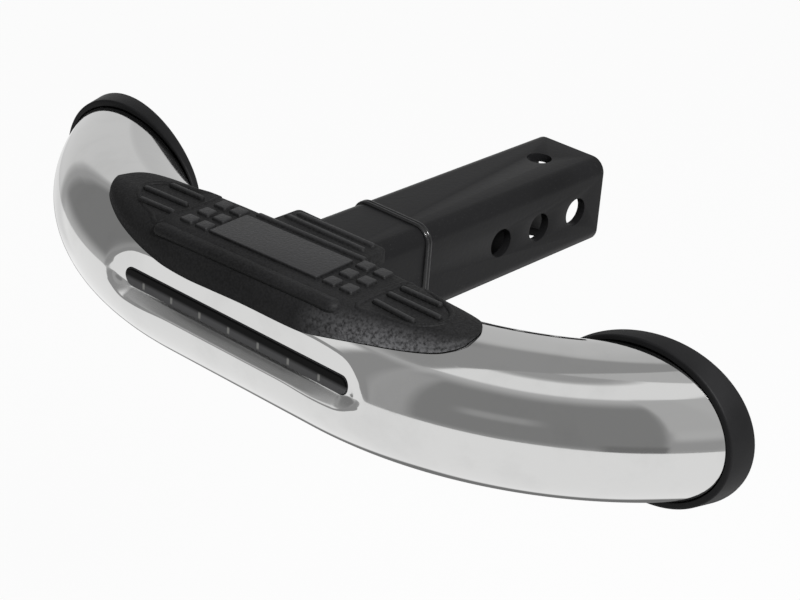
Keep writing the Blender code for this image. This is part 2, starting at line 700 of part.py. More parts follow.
def main():
    clear_scene()
    home = collection("hitch_step")
    cutters = collection("cutters")
    mats = {
        "polished_stainless": material("polished_stainless", (0.62, 0.62, 0.61), 1.0, 0.12),
        "cap_plastic": material("cap_plastic", (0.018, 0.018, 0.019), 0.0, 0.45),
        "pad_rubber": material("pad_rubber", (0.030, 0.030, 0.031), 0.0, 0.70),
        "clip_plastic": material("clip_plastic", (0.60, 0.60, 0.57), 0.0, 0.50),
        "gasket_rubber": material("gasket_rubber", (0.015, 0.015, 0.016), 0.0, 0.60),
        "smoked_lens": material("smoked_lens", (0.06, 0.06, 0.065), 0.0, 0.08),
        "housing_plastic": material("housing_plastic", (0.02, 0.02, 0.02), 0.0, 0.50),
        "circuit_board": material("circuit_board", (0.02, 0.07, 0.03), 0.0, 0.45),
        "lamp": material("lamp", (0.80, 0.78, 0.70), 0.0, 0.20),
        "black_powder_coat": material("black_powder_coat", (0.020, 0.020, 0.021), 0.0, 0.38),
        "gloss_black": material("gloss_black", (0.015, 0.015, 0.016), 0.0, 0.18),
        "weld_steel": material("weld_steel", (0.022, 0.022, 0.023), 0.0, 0.42),
    }
    grown_tube = swept_tube("cut_around_tube", TUBE_R + GAP, cutters)
    grown = SQUARE / 2 + GAP
    square = prism("cut_around_square", [rounded_box(grown, grown, SQUARE_CORNER + GAP, 5)], 'Y', TUBE_Y,
                   OPEN_END_Y + THROUGH, cutters)
    build_step_tube(home, cutters, mats)
    build_end_caps(home, cutters, mats)
    build_pad(home, cutters, mats, grown_tube, square)
    build_clips(home, mats)
    build_light(home, cutters, mats)
    build_grommet(home, mats)
    build_receiver(home, cutters, mats, grown_tube)
    build_stop_ring(home, cutters, mats, square)
    build_weld(home, cutters, mats, square)


main()
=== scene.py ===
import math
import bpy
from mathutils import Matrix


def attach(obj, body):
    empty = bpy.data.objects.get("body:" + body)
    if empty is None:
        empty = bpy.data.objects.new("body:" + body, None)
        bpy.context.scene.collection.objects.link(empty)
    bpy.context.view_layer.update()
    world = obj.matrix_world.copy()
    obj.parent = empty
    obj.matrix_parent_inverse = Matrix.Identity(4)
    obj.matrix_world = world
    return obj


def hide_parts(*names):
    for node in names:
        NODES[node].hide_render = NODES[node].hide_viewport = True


bl_info = {
    "name": "Hitch step",
    "version": (1, 0, 0),
    "blender": (4, 5, 0),
    "location": "View3D > Sidebar > Hitch step",
    "description": "Dresses the packed hitch step: polished tube, moulded pad, light, caps and square tube",
    "category": "Object",
}

import bmesh
import bpy
import numpy as np
from bpy.props import FloatProperty, FloatVectorProperty, PointerProperty
from mathutils import Matrix, Vector

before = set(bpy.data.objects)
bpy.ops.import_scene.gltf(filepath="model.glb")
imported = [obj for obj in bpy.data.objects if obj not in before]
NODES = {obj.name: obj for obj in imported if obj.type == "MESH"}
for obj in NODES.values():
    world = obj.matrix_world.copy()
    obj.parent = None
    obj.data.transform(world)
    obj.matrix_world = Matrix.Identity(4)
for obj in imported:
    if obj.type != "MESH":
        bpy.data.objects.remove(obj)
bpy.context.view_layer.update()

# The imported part's own measures, in metres.
TUBE_R = 0.0381
TUBE_WALL = 0.0020
TUBE_Y = -0.1755
TUBE_Z = -0.0098
STRAIGHT_HALF = 0.0518
BEND_R = 0.1761
BEND_CENTRE_Y = TUBE_Y + BEND_R
CUT_Y = -0.1147
STEEL_END_Y = CUT_Y + 0.0009
SQUARE = 0.0508
SQUARE_WALL = 0.0048
SQUARE_CORNER = 0.0085
OPEN_END_Y = 0.0546
PIN_BORE = 0.0163
PIN_PITCH = 0.0321
TOP_BORE = 0.0140
TOP_BORE_Y = 0.02735
WALL_Y = -0.0305
LIGHT_Z = 0.0058
SLOT_HALF_LENGTH = 0.0793
SLOT_HALF_HEIGHT = 0.0054
PAD_TOP = 0.0322
RING_Y = -0.0950
RING_WIDTH = 0.0046
BEAD_R = 0.0013
WELD_R = 0.0040
CORD_X = 0.04
CORD_BORE_R = 0.0043
GAP = 0.0003

# Derived places and the spacing of the painted lamp glints on the lens.
LIGHT_FACE_Y = TUBE_Y + WALL_Y
SEAT = 2 * GAP + 0.0012
GLINTS_PER_METRE = 47.9
GLINT_START = 0.591


# Shader nodes
class Socket:
    """A node's output, with the usual operators as Math nodes."""

    def __init__(self, shader, value):
        self.shader = shader
        self.value = value

    def maths(self, operation, *others):
        return self.shader.node('ShaderNodeMath', {"operation": operation}, [self, *others])

    def __add__(self, other):
        return self.maths('ADD', other)

    def __sub__(self, other):
        return self.maths('SUBTRACT', other)

    def __rsub__(self, other):
        return self.shader.node('ShaderNodeMath', {"operation": 'SUBTRACT'}, [other, self])

    def __mul__(self, other):
        return self.maths('MULTIPLY', other)

    __radd__ = __add__
    __rmul__ = __mul__


def with_alpha(colour):
    """A plain colour as its sockets take it; a linked one stays as it is."""
    return colour if isinstance(colour, Socket) else (*colour, 1.0)


def tint(colour, times=1.0):
    return tuple(part * times for part in colour)


class Shader:
    """A material's node tree, built one node at a time."""

    def __init__(self, name):
        self.material = bpy.data.materials.new(name)
        self.material.use_nodes = True
        self.tree = self.material.node_tree
        self.surface = self.tree.nodes["Principled BSDF"]
        self.place = self.node('ShaderNodeTexCoord', {}, [], "Object")

    def feed(self, target, value):
        """Links a socket to an input, or sets the input to a plain value."""
        if isinstance(value, Socket):
            self.tree.links.new(value.value, target)
        else:
            target.default_value = value

    def node(self, kind, settings, inputs, output=0):
        """Any node: its settings first, then what its inputs take, by name or by place."""
        made = self.tree.nodes.new(kind)
        for key, value in settings.items():
            setattr(made, key, value)
        for key, value in inputs.items() if isinstance(inputs, dict) else enumerate(inputs):
            self.feed(made.inputs[key], value)
        return Socket(self, made.outputs[output])

    def noise(self, scale, detail=2.0, place=None, rough=0.5):
        return self.node('ShaderNodeTexNoise', {}, {"Vector": place or self.place, "Scale": scale,
                                                     "Detail": detail, "Roughness": rough})

    def voronoi(self, scale, feature, place=None):
        return self.node('ShaderNodeTexVoronoi', {"feature": feature},
                         {"Vector": place or self.place, "Scale": scale}, "Distance")

    def stretched(self, scale):
        return self.node('ShaderNodeMapping', {}, {"Vector": self.place, "Scale": scale})

    def between(self, value, low, high, to_low=0.0, to_high=1.0):
        return self.node('ShaderNodeMapRange', {}, {"Value": value, "From Min": low, "From Max": high,
                                                     "To Min": to_low, "To Max": to_high})

    def mix(self, factor, first, second):
        """Mixes two colours; the Mix node keeps its colour sockets at places 6 and 7, its result at 2."""
        return self.node('ShaderNodeMix', {"data_type": 'RGBA'},
                         {0: factor, 6: with_alpha(first), 7: with_alpha(second)}, 2)

    def axis(self, index):
        return self.node('ShaderNodeSeparateXYZ', {}, [self.place], index)

    def bump(self, height, strength, distance, under=None):
        inputs = {"Height": height, "Strength": strength, "Distance": distance}
        if under is not None:
            inputs["Normal"] = under
        return self.node('ShaderNodeBump', {}, inputs)

    def finish(self, **sockets):
        """Feeds the surface's own sockets and gives back the material."""
        names = {"colour": "Base Color", "rough": "Roughness", "metal": "Metallic", "normal": "Normal",
                 "specular": "Specular IOR Level", "glow": "Emission Color",
                 "glow_strength": "Emission Strength"}
        for key, value in sockets.items():
            self.feed(self.surface.inputs[names[key]], value)
        return self.material

    def show(self, shader):
        """Shows another shader than the surface and gives back the material."""
        self.feed(self.tree.nodes["Material Output"].inputs["Surface"], shader)
        return self.material


def polished_steel(look):
    """Mirror polished stainless with the faint waves, haze and hairlines of a buffed tube."""
    sh = Shader("polished_stainless_look")
    waves = sh.noise(9.0, 2.0)
    haze = sh.noise(34.0, 5.0, rough=0.6)
    lines = sh.noise(1.0, 3.0, sh.stretched((30.0, 420.0, 420.0)))
    fine = sh.between(lines, 0.60, 0.78)
    dull = sh.between(haze, 0.48, 0.75)
    colour = sh.mix(dull, tint(look.steel_colour), tint(look.steel_colour, 0.93))
    normal = sh.bump(waves, 0.35, 0.0016)
    normal = sh.bump(lines, 0.03, 0.0001, normal)
    height = sh.axis(2) - TUBE_Z
    ledge = sh.between(height, -0.0050, -0.0025) * sh.between(height, 0.0004, 0.0016, 1.0, 0.0)
    ledge = ledge * sh.between(sh.axis(1), TUBE_Y - 0.0302, TUBE_Y - 0.0298, 1.0, 0.0)
    ledge = ledge * sh.between(sh.axis(0).maths('ABSOLUTE'), 0.080, 0.086, 1.0, 0.0)
    rough = look.steel_roughness + dull * 0.05 + fine * 0.04 + ledge * 0.16
    return sh.finish(colour=colour, metal=1.0, rough=rough, normal=normal)


def cap_plastic(look):
    """Matte black moulded plastic with fine spark grain and dusty highlights."""
    sh = Shader("cap_plastic_look")
    grain = sh.noise(1500.0, 2.0)
    cloud = sh.noise(40.0, 4.0)
    colour = sh.mix(sh.between(cloud, 0.35, 0.75), tint(look.cap_colour), tint(look.cap_colour, 1.6))
    normal = sh.bump(grain, 0.25, 0.0001, sh.bump(cloud, 0.10, 0.0008))
    rough = 0.42 + sh.between(cloud, 0.3, 0.7) * 0.12
    return sh.finish(colour=colour, rough=rough, specular=0.08, normal=normal)


def pad_rubber(look):
    """Moulded rubber with a pebbled grain, smoother on the tops, the tops also painted lighter as painted
    sheen, and a painted highlight on the low skirt at the right.
    """
    sh = Shader("pad_rubber_look")
    pebble = sh.voronoi(900.0, 'SMOOTH_F1')
    crease = sh.noise(620.0, 3.0)
    cloud = sh.noise(28.0, 3.0)
    height = sh.axis(2)
    tops_sheen_and_smooth = sh.between(height, PAD_TOP - 0.0007, PAD_TOP - 0.0001)
    colour = sh.mix(sh.between(pebble, 0.15, 0.7), tint(look.pad_colour), tint(look.pad_colour, 0.45))
    colour = sh.mix(sh.between(cloud, 0.4, 0.8) * 0.35, colour, tint(look.pad_colour, 1.7))
    # Painted sheen: the tops of the plate, blocks and ribs are painted lighter.
    colour = sh.mix(tops_sheen_and_smooth * 0.7, colour, tint(look.pad_colour, 2.4))
    # Painted highlight: the low skirt at the right end is painted far paler, broken up by the crease noise.
    low_side = sh.between(height, PAD_BASE_Z - 0.0100, PAD_BASE_Z - 0.0010, 1.0, 0.0)
    right_skirt_painted_highlight = sh.between(sh.axis(0), 0.040, 0.085) * low_side
    colour = sh.mix(right_skirt_painted_highlight * sh.between(crease, 0.30, 0.60), colour, tint(look.pad_colour, 10.0))
    grain = pebble * -0.7 + crease * 0.6
    normal = sh.bump(grain, 0.6, 0.00035)
    rough = 0.56 - tops_sheen_and_smooth * 0.20 + sh.between(crease, 0.3, 0.8) * 0.12
    return sh.finish(colour=colour, rough=rough, specular=0.13, normal=normal)


def powder_coat(look, name="powder_coat_look", gloss=0.0):
    """Satin black powder coat with a slight orange peel."""
    sh = Shader(name)
    peel = sh.noise(420.0, 2.0)
    cloud = sh.noise(18.0, 3.0)
    dust = sh.between(sh.noise(2600.0, 1.0), 0.72, 0.80)
    colour = sh.mix(sh.between(cloud, 0.4, 0.8), tint(look.coat_colour), tint(look.coat_colour, 1.35))
    colour = sh.mix(dust * 0.35, colour, (0.16, 0.16, 0.16))
    normal = sh.bump(peel, 0.16, 0.0004)
    rough = 0.33 - gloss + sh.between(cloud, 0.3, 0.7) * 0.06
    return sh.finish(colour=colour, rough=rough, specular=0.07 + gloss * 2, normal=normal)


def weld_steel(look):
    """Powder coat over the rippled weld."""
    sh = Shader("weld_look")
    ripple = sh.noise(260.0, 3.0)
    colour = sh.mix(ripple, tint(look.coat_colour), tint(look.coat_colour, 2.2))
    return sh.finish(colour=colour, rough=0.42, specular=0.5, normal=sh.bump(ripple, 0.4, 0.0006))


def gasket_rubber():
    """Matte black rubber of the gasket and the grommet."""
    sh = Shader("gasket_look")
    grain = sh.noise(1800.0, 2.0)
    colour = sh.mix(grain, (0.010, 0.010, 0.011), (0.022, 0.022, 0.023))
    return sh.finish(colour=colour, rough=0.48, normal=sh.bump(grain, 0.2, 0.0001))


def smoked_lens(look):
    """Dark smoked moulding with a slightly wavy face, its lower half painted lighter as a painted reflection,
    and a row of seven painted lamp glints: the lamps seen through the lens and their reflection.
    """
    sh = Shader("smoked_lens_look")
    flow = sh.noise(60.0, 2.0)
    height = sh.axis(2) - (TUBE_Z + LIGHT_Z)
    # Painted reflection: the lens's lower half keeps the lighter colour, the upper half takes 0.04 of it.
    colour = sh.mix(sh.between(height, -0.0012, 0.0010), tint(look.lens_tint_and_reflection), tint(look.lens_tint_and_reflection, 0.04))
    # Painted glints: seven pale streaks on the lens face stand in for the lamps seen through the lens
    # together with their reflection just below.
    near = ((sh.axis(0) * GLINTS_PER_METRE + GLINT_START).maths('FRACT') - 0.5).maths('ABSOLUTE')
    tall = sh.between((height + 0.0016).maths('ABSOLUTE'), 0.0012, 0.0021, 1.0, 0.0)
    lamp_glint = sh.between(near, 0.026, 0.048, 1.0, 0.0) * tall
    lamp_glint = lamp_glint * sh.between(sh.axis(0).maths('ABSOLUTE'), 0.069, 0.070, 1.0, 0.0)
    colour = sh.mix(lamp_glint, colour, (0.24, 0.24, 0.23))
    return sh.finish(colour=colour, rough=0.08, specular=0.04, normal=sh.bump(flow, 0.05, 0.0004))


def lamp_material(look):
    """Pale lamp body with a soft glow of its own."""
    sh = Shader("lamp_look")
    cloud = sh.noise(900.0, 2.0)
    colour = sh.mix(cloud, (0.80, 0.79, 0.74), (0.92, 0.91, 0.86))
    return sh.finish(colour=colour, rough=0.22, glow=colour, glow_strength=look.lamp_glow)


def circuit_board():
    """Coated board with fine tracks."""
    sh = Shader("circuit_board_look")
    tracks = sh.voronoi(260.0, 'DISTANCE_TO_EDGE', sh.stretched((1.0, 1.0, 2.2)))
    lines = sh.between(tracks, 0.02, 0.05)
    colour = sh.mix(lines, (0.050, 0.055, 0.050), (0.012, 0.014, 0.012))
    return sh.finish(colour=colour, rough=0.4, normal=sh.bump(lines, -0.2, 0.0001))


def clip_plastic():
    """Uncoloured moulded plastic of the push clips."""
    sh = Shader("clip_plastic_look")
    flow = sh.noise(300.0, 3.0)
    colour = sh.mix(flow, (0.55, 0.55, 0.51), (0.66, 0.66, 0.62))
    return sh.finish(colour=colour, rough=0.42 + flow * 0.1, normal=sh.bump(flow, 0.1, 0.0002))


# Mesh helpers
def deselect():
    for other in list(bpy.context.selected_objects):
        other.select_set(False)


def activate(piece):
    deselect()
    piece.select_set(True)
    bpy.context.view_layer.objects.active = piece


def smoothed(piece, degrees):
    """Smooths all but the edges sharper than the angle and gives the piece back."""
    activate(piece)
    bpy.ops.object.shade_smooth_by_angle(angle=math.radians(degrees))
    return piece


def settled(piece, degrees):
    """Merges doubles, points the faces outward and smooths the piece."""
    activate(piece)
    bpy.ops.object.mode_set(mode='EDIT')
    bpy.ops.mesh.select_all(action='SELECT')
    bpy.ops.mesh.remove_doubles(threshold=1e-6)
    bpy.ops.mesh.normals_make_consistent(inside=False)
    bpy.ops.object.mode_set(mode='OBJECT')
    return smoothed(piece, degrees)


def mesh_piece(name, verts, faces, degrees):
    """Object made of points and faces, settled and smoothed."""
    mesh = bpy.data.meshes.new(name)
    mesh.from_pydata(verts, [], faces)
    mesh.validate()
    piece = bpy.data.objects.new(name, mesh)
    bpy.context.scene.collection.objects.link(piece)
    return settled(piece, degrees)


def grid_faces(rows, columns, closed=True):
    """Faces between rings, or rows, of points that were listed one after another."""
    faces = []
    for i in range(rows - 1):
        for j in range(columns if closed else columns - 1):
            k = (j + 1) % columns
            faces.append((i * columns + j, i * columns + k, (i + 1) * columns + k, (i + 1) * columns + j))
    return faces


def lofted(name, rings, degrees=35.0):
    """Closed solid through rings of points, its two ends filled."""
    columns = len(rings[0])
    verts = [point for ring in rings for point in ring]
    count = len(verts)
    ends = [tuple(range(columns)), tuple(range(count - 1, count - columns - 1, -1))]
    return mesh_piece(name, verts, grid_faces(len(rings), columns) + ends, degrees)


def rod_piece(name, path, radius, sides, cyclic=False):
    """Round rod along a path of points."""
    curve = bpy.data.curves.new(name, 'CURVE')
    curve.dimensions = '3D'
    curve.bevel_depth = radius
    curve.bevel_resolution = sides // 2 - 2
    curve.use_fill_caps = True
    spline = curve.splines.new('POLY')
    spline.points.add(len(path) - 1)
    spline.use_cyclic_u = cyclic
    for point, place in zip(spline.points, path):
        point.co = (*place, 1.0)
    piece = bpy.data.objects.new(name, curve)
    bpy.context.scene.collection.objects.link(piece)
    activate(piece)
    bpy.ops.object.convert(target='MESH')
    return settled(bpy.context.active_object, 50.0)


def edit(piece, mode='FACE'):
    activate(piece)
    bpy.ops.object.mode_set(mode='EDIT')
    bpy.ops.mesh.select_mode(type=mode)
    bpy.ops.mesh.select_all(action='DESELECT')


def done():
    bpy.ops.object.mode_set(mode='OBJECT')


def pick(piece, test, kind="faces"):
    """Selects the faces or edges of the piece in edit mode that pass the test."""
    bm = bmesh.from_edit_mesh(piece.data)
    for item in getattr(bm, kind):
        item.select_set(bool(test(item)))
    bm.select_flush_mode()
    bmesh.update_edit_mesh(piece.data)


def round_edges(piece, axis, offset, segments):
    """Rounds the edges that run along one axis, given as 0, 1 or 2."""
    edit(piece, 'EDGE')
    pick(piece, lambda edge: abs(edge.verts[0].co[axis] - edge.verts[1].co[axis]) > 1e-4, "edges")
    bpy.ops.mesh.bevel(offset=offset, segments=segments, affect='EDGES')
    done()


def round_outline(piece, test, offset, segments):
    """Rounds the outline of the faces that pass the test."""
    edit(piece)
    pick(piece, test)
    bpy.ops.mesh.region_to_loop()
    bpy.ops.mesh.bevel(offset=offset, segments=segments, affect='EDGES')
    done()


def faces_up(face):
    return face.normal.z > 0.9


def apply_modifier(piece, kind, **settings):
    activate(piece)
    mod = piece.modifiers.new("Work", kind)
    for key, value in settings.items():
        setattr(mod, key, value)
    bpy.ops.object.modifier_apply(modifier=mod.name)


def carve(piece, tool, operation='DIFFERENCE'):
    """Cuts the tool from the piece, or adds it, and removes the tool."""
    apply_modifier(piece, 'BOOLEAN', object=tool, operation=operation, solver='MANIFOLD')
    if not piece.data.polygons:
        raise RuntimeError("nothing is left of " + piece.name)
    bpy.data.objects.remove(tool, do_unlink=True)


def put(piece, mat, node):
    """Gives a finished piece its material and the body it rides on, and hides the node it stands for."""
    piece.data.materials.clear()
    piece.data.materials.append(mat)
    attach(piece, "root")
    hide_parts(node)


def placed(name):
    """Names the new primitive and moves its place into its mesh."""
    piece = bpy.context.active_object
    piece.name = name
    bpy.ops.object.transform_apply(location=True, rotation=True, scale=True)
    return piece


def cube(name, low, high):
    low = Vector(low)
    high = Vector(high)
    deselect()
    bpy.ops.mesh.primitive_cube_add(size=1.0, location=(low + high) / 2, scale=high - low)
    return placed(name)


def cylinder(name, axis, radius, start, end, place, sides):
    middle = Vector(place)
    middle["XYZ".index(axis)] = (start + end) / 2
    turn = {'X': (0.0, math.pi / 2, 0.0), 'Y': (math.pi / 2, 0.0, 0.0), 'Z': (0.0, 0.0, 0.0)}[axis]
    deselect()
    bpy.ops.mesh.primitive_cylinder_add(vertices=sides, radius=radius, depth=end - start, location=middle,
                                        rotation=turn)
    return placed(name)


def tube_drum(radius, reach):
    """Round cutter of the step tube's straight middle."""
    return cylinder("drum", 'X', radius, -reach, reach, (0.0, TUBE_Y, TUBE_Z), 192)


def smoothstep(low, high, value):
    """0 below low, 1 above high and an easy rise between; takes numbers or arrays."""
    t = np.clip((value - low) / (high - low), 0.0, 1.0)
    return t * t * (3 - 2 * t)


# Step tube
def on_tube(x, turn, radius):
    """Place on a tube round the middle line, straight above x; turn runs from the top over the front."""
    run = max(abs(x) - STRAIGHT_HALF, 0.0)
    rho = BEND_R + radius * math.sin(turn)
    y = BEND_CENTRE_Y - math.sqrt(max(rho ** 2 - run ** 2, 0.0))
    return Vector((x, y, TUBE_Z + radius * math.cos(turn)))


def blended(x, weight, share, turn, radius):
    """Between a section straight across x and one that leans toward the cut plane."""
    rho = BEND_R + radius * math.sin(turn)
    straight = math.asin(min((x - STRAIGHT_HALF) / rho, 0.98))
    leaning = share * math.acos((BEND_CENTRE_Y - STEEL_END_Y) / rho)
    swing = straight * (1 - weight) + leaning * weight
    return Vector((STRAIGHT_HALF + rho * math.sin(swing), BEND_CENTRE_Y - rho * math.cos(swing),
                   TUBE_Z + radius * math.cos(turn)))


# The pressed pocket: its flat floor, the rounded rim that rises at the tips, and the blurs of its edges.
POCKET_FLAT = 0.0720
POCKET_END_R = 0.0450
POCKET_TIP_X = 0.0866
POCKET_TIP_Z = 0.0022
FLOOR_Z = 0.0002
FLOOR_TIP_RISE = 0.0012
RIM_Z = -0.0034
RIM_SAG = -0.0018
RIM_CORNER_X = 0.0735
SAG_X = (0.038, 0.070)
TIP_SOFT_X = (0.0800, 0.0870)
SOFT_LOW = (-0.0030, 0.0010)
SOFT_HIGH = (0.0110, 0.0190)
EDGE_BLUR = (2.2, 3.0)
TIP_BLUR = (11.0, 14.0)
FIELD_X = np.arange(0.0, 0.1040, 0.00025)
FIELD_TURN = np.radians(np.arange(38.0, 112.01, 0.25))
BLEND_STEPS = 40
BLEND_REACH = 0.130


def blurred(field, spreads):
    """Gaussian blur of the field, its spread given in cells along x and along the turn."""
    for axis, spread in enumerate(spreads):
        reach = int(spread * 3) + 1
        weights = np.exp(-0.5 * (np.arange(-reach, reach + 1) / spread) ** 2)
        weights /= weights.sum()
        margins = [(0, 0), (0, 0)]
        margins[axis] = (reach, reach)
        wide = np.pad(field, margins, mode='reflect')
        field = np.apply_along_axis(lambda row: np.convolve(row, weights, mode='valid'), axis, wide)
    return field


def pocket_field(grow):
    """Distance of the pressed surface from the tube's middle line, over x and turn."""
    radius = TUBE_R - grow
    x = FIELD_X[:, None]
    turn = FIELD_TURN[None, :]
    over = np.clip(x - POCKET_FLAT, 0.0, POCKET_END_R * 0.999)
    wall = BEND_R - WALL_Y + POCKET_END_R - np.sqrt(POCKET_END_R ** 2 - over ** 2)
    out = np.hypot(np.maximum(x - STRAIGHT_HALF, 0.0), wall) - BEND_R
    corner = np.clip((x - RIM_CORNER_X) / (POCKET_TIP_X - RIM_CORNER_X), 0.0, 1.0)
    low = RIM_Z + RIM_SAG * smoothstep(*SAG_X, x)
    rim = low + (POCKET_TIP_Z - low) * (1 - np.sqrt(1 - corner ** 2))
    inner = FLOOR_Z + (POCKET_TIP_Z + FLOOR_TIP_RISE - FLOOR_Z) * smoothstep(RIM_CORNER_X, POCKET_TIP_X, x)
    share = np.linspace(0.0, 1.6, 161)[None, :]
    far = out - grow + share * np.maximum(TUBE_R - 0.0001 - out, 0.0006)
    tall = inner - grow - (inner - rim) * share ** 1.1
    floor = np.array([np.interp(FIELD_TURN, np.arctan2(far[i], tall[i]), np.hypot(far[i], tall[i]), left=0.0,
                                right=radius) for i in range(len(FIELD_X))])
    depth = np.minimum(radius, np.maximum((out - grow) / np.sin(turn), floor))
    height = TUBE_R * np.cos(turn)
    soft = smoothstep(*TIP_SOFT_X, x) * smoothstep(*SOFT_LOW, height) * (1 - smoothstep(*SOFT_HIGH, height))
    return blurred(depth, EDGE_BLUR) * (1 - soft) + blurred(depth, TIP_BLUR) * soft


def ring_turns():
    """Turns of one ring's points, close together where the pocket's edges lie."""
    turns = []
    for low, high, step in ((44.0, 88.0, 1.0), (88.0, 99.6, 0.4), (99.6, 106.0, 0.8), (106.0, 404.0, 4.5)):
        turns += list(np.arange(low, high - step * 0.5, step))
    return np.radians(turns)


def shell_rings(grow):
    """Rings of the tube's skin from the left end to the right, that far inside its outer side."""
    radius = TUBE_R - grow
    field = pocket_field(grow)
    turns = ring_turns()
    marks = list(np.arange(0.0, 0.0699, 0.0014)) + list(np.arange(0.0700, 0.0960, 0.00055))
    half = []
    for x in marks:
        row = [np.interp(x, FIELD_X, column) for column in field.T]
        depths = np.interp(turns, FIELD_TURN, row, left=radius, right=radius)
        half.append([on_tube(x, turn, depth) for turn, depth in zip(turns, depths)])
    full = math.acos((BEND_CENTRE_Y - STEEL_END_Y) / BEND_R)
    first = math.asin((marks[-1] - STRAIGHT_HALF) / BEND_R) / full
    for i in range(1, BLEND_STEPS + 1):
        share = first + (1 - first) * i / BLEND_STEPS
        x = min(STRAIGHT_HALF + BEND_R * math.sin(share * full), STRAIGHT_HALF + BLEND_REACH)
        weight = smoothstep(0.0, 1.0, i / BLEND_STEPS)
        half.append([blended(x, weight, share, turn, radius) for turn in turns])
    left = [[Vector((-p.x, p.y, p.z)) for p in ring] for ring in half[:0:-1]]
    return left + half


def step_tube_piece():
    """Bent hollow tube with its pressed pocket, the slot of the light and the cord's hole."""
    rings = shell_rings(0.0) + shell_rings(TUBE_WALL)[::-1]
    columns = len(rings[0])
    verts = [point for ring in rings for point in ring]
    last = (len(rings) - 1) * columns
    faces = grid_faces(len(rings), columns)
    for j in range(columns):
        k = (j + 1) % columns
        faces.append((last + j, last + k, k, j))
    piece = mesh_piece("step_tube_shell", verts, faces, 40.0)
    carve(piece, obround_block("slot_cutter", 0.0, LIGHT_FACE_Y - 0.0012, LIGHT_FACE_Y + 0.006, 32))
    carve(piece, cylinder("cord_cutter", 'Y', CORD_BORE_R, TUBE_Y + TUBE_R / 2, TUBE_Y + TUBE_R + 0.004,
                          (CORD_X, 0.0, TUBE_Z), 32))
    return smoothed(piece, 40)


def obround_outline(grow, steps):
    """Outline of the light's slot, grown on all sides, as x and z."""
    half_length = SLOT_HALF_LENGTH + grow
    half_height = SLOT_HALF_HEIGHT + grow
    straight = half_length - half_height
    points = []
    for side in (1, -1):
        for i in range(steps + 1):
            turn = math.pi * i / steps - math.pi / 2
            points.append((side * (straight + half_height * math.cos(turn)),
                           TUBE_Z + LIGHT_Z + side * half_height * math.sin(turn)))
    return points


def obround_block(name, grow, start, end, steps=24):
    """Block of the slot's outline between two places along y."""
    outline = obround_outline(grow, steps)
    return lofted(name, [[(x, y, z) for x, z in outline] for y in (start, end)])


# End caps
CAP_FRONT = {"side": 0.0026, "top": 0.0038, "shift": 0.0012}
CAP_REAR = {"side": 0.0039, "top": 0.0048, "shift": 0.0029}
CAP_DEPTH = 0.0098
CAP_TILT = 0.093
CAP_SIDES = 128
CAP_PLUG = 0.0090
CAP_PLUG_GAP = 0.0004
CAP_SEAT = 0.0012
CAP_SEAT_GAP = 0.00035


def cut_outline(radius, y):
    """Outline, as x and z, where a plane across y cuts a tube of this radius at the right end."""
    points = []
    for i in range(CAP_SIDES):
        turn = 2 * math.pi * i / CAP_SIDES
        rho = BEND_R + radius * math.sin(turn)
        points.append((STRAIGHT_HALF + math.sqrt(rho ** 2 - (BEND_CENTRE_Y - y) ** 2),
                       TUBE_Z + radius * math.cos(turn)))
    return points


def cap_ring(margins, y, tilt, inset=0.0):
    """Ring of the cap's outside: the cut steel's outline, grown by the margins and tilted."""
    steel = cut_outline(TUBE_R, CUT_Y)
    low = min(x for x, z in steel)
    high = max(x for x, z in steel)
    middle = (low + high) / 2
    wide = 1 + (margins["side"] - inset) / (high - middle)
    tall = 1 + (margins["top"] - inset) / TUBE_R
    points = []
    for x, z in steel:
        out = middle + (x - middle) * wide + margins["shift"]
        points.append(Vector((out, y + (out - middle) * tilt, TUBE_Z + (z - TUBE_Z) * tall)))
    return points


def seat_ring(radius, y):
    return [Vector((x, y, z)) for x, z in cut_outline(radius, y)]


def cap_piece(name, side, soft):
    """Cap with a seat round the steel, rounded lips and a slightly dished back."""
    rear = CUT_Y + CAP_DEPTH
    rings = [seat_ring(TUBE_R - TUBE_WALL - CAP_PLUG_GAP, CUT_Y - CAP_PLUG),
             seat_ring(TUBE_R - TUBE_WALL - CAP_PLUG_GAP, CUT_Y + CAP_SEAT),
             seat_ring(TUBE_R + CAP_SEAT_GAP, CUT_Y + CAP_SEAT)]
    lip = zip(seat_ring(TUBE_R + CAP_SEAT_GAP, CUT_Y), cap_ring(CAP_FRONT, CUT_Y, 0.0))
    rings.append([p.lerp(q, 0.08) for p, q in lip])
    for i in range(5):
        turn = math.pi / 2 * i / 4
        rings.append(cap_ring(CAP_FRONT, CUT_Y + soft * (1 - math.cos(turn)), 0.0,
                              soft * (1 - math.sin(turn))))
    for i in range(6):
        turn = math.pi / 2 * i / 5
        rings.append(cap_ring(CAP_REAR, rear - soft * 1.3 * (1 - math.sin(turn)), CAP_TILT,
                              soft * 1.3 * (1 - math.cos(turn))))
    rings.append(cap_ring(CAP_REAR, rear - 0.0001, CAP_TILT, 0.006))
    rings.append(cap_ring(CAP_REAR, rear - 0.0006, CAP_TILT, 0.009))
    return lofted(name, [[Vector((side * p.x, p.y, p.z)) for p in ring] for ring in rings], 50.0)


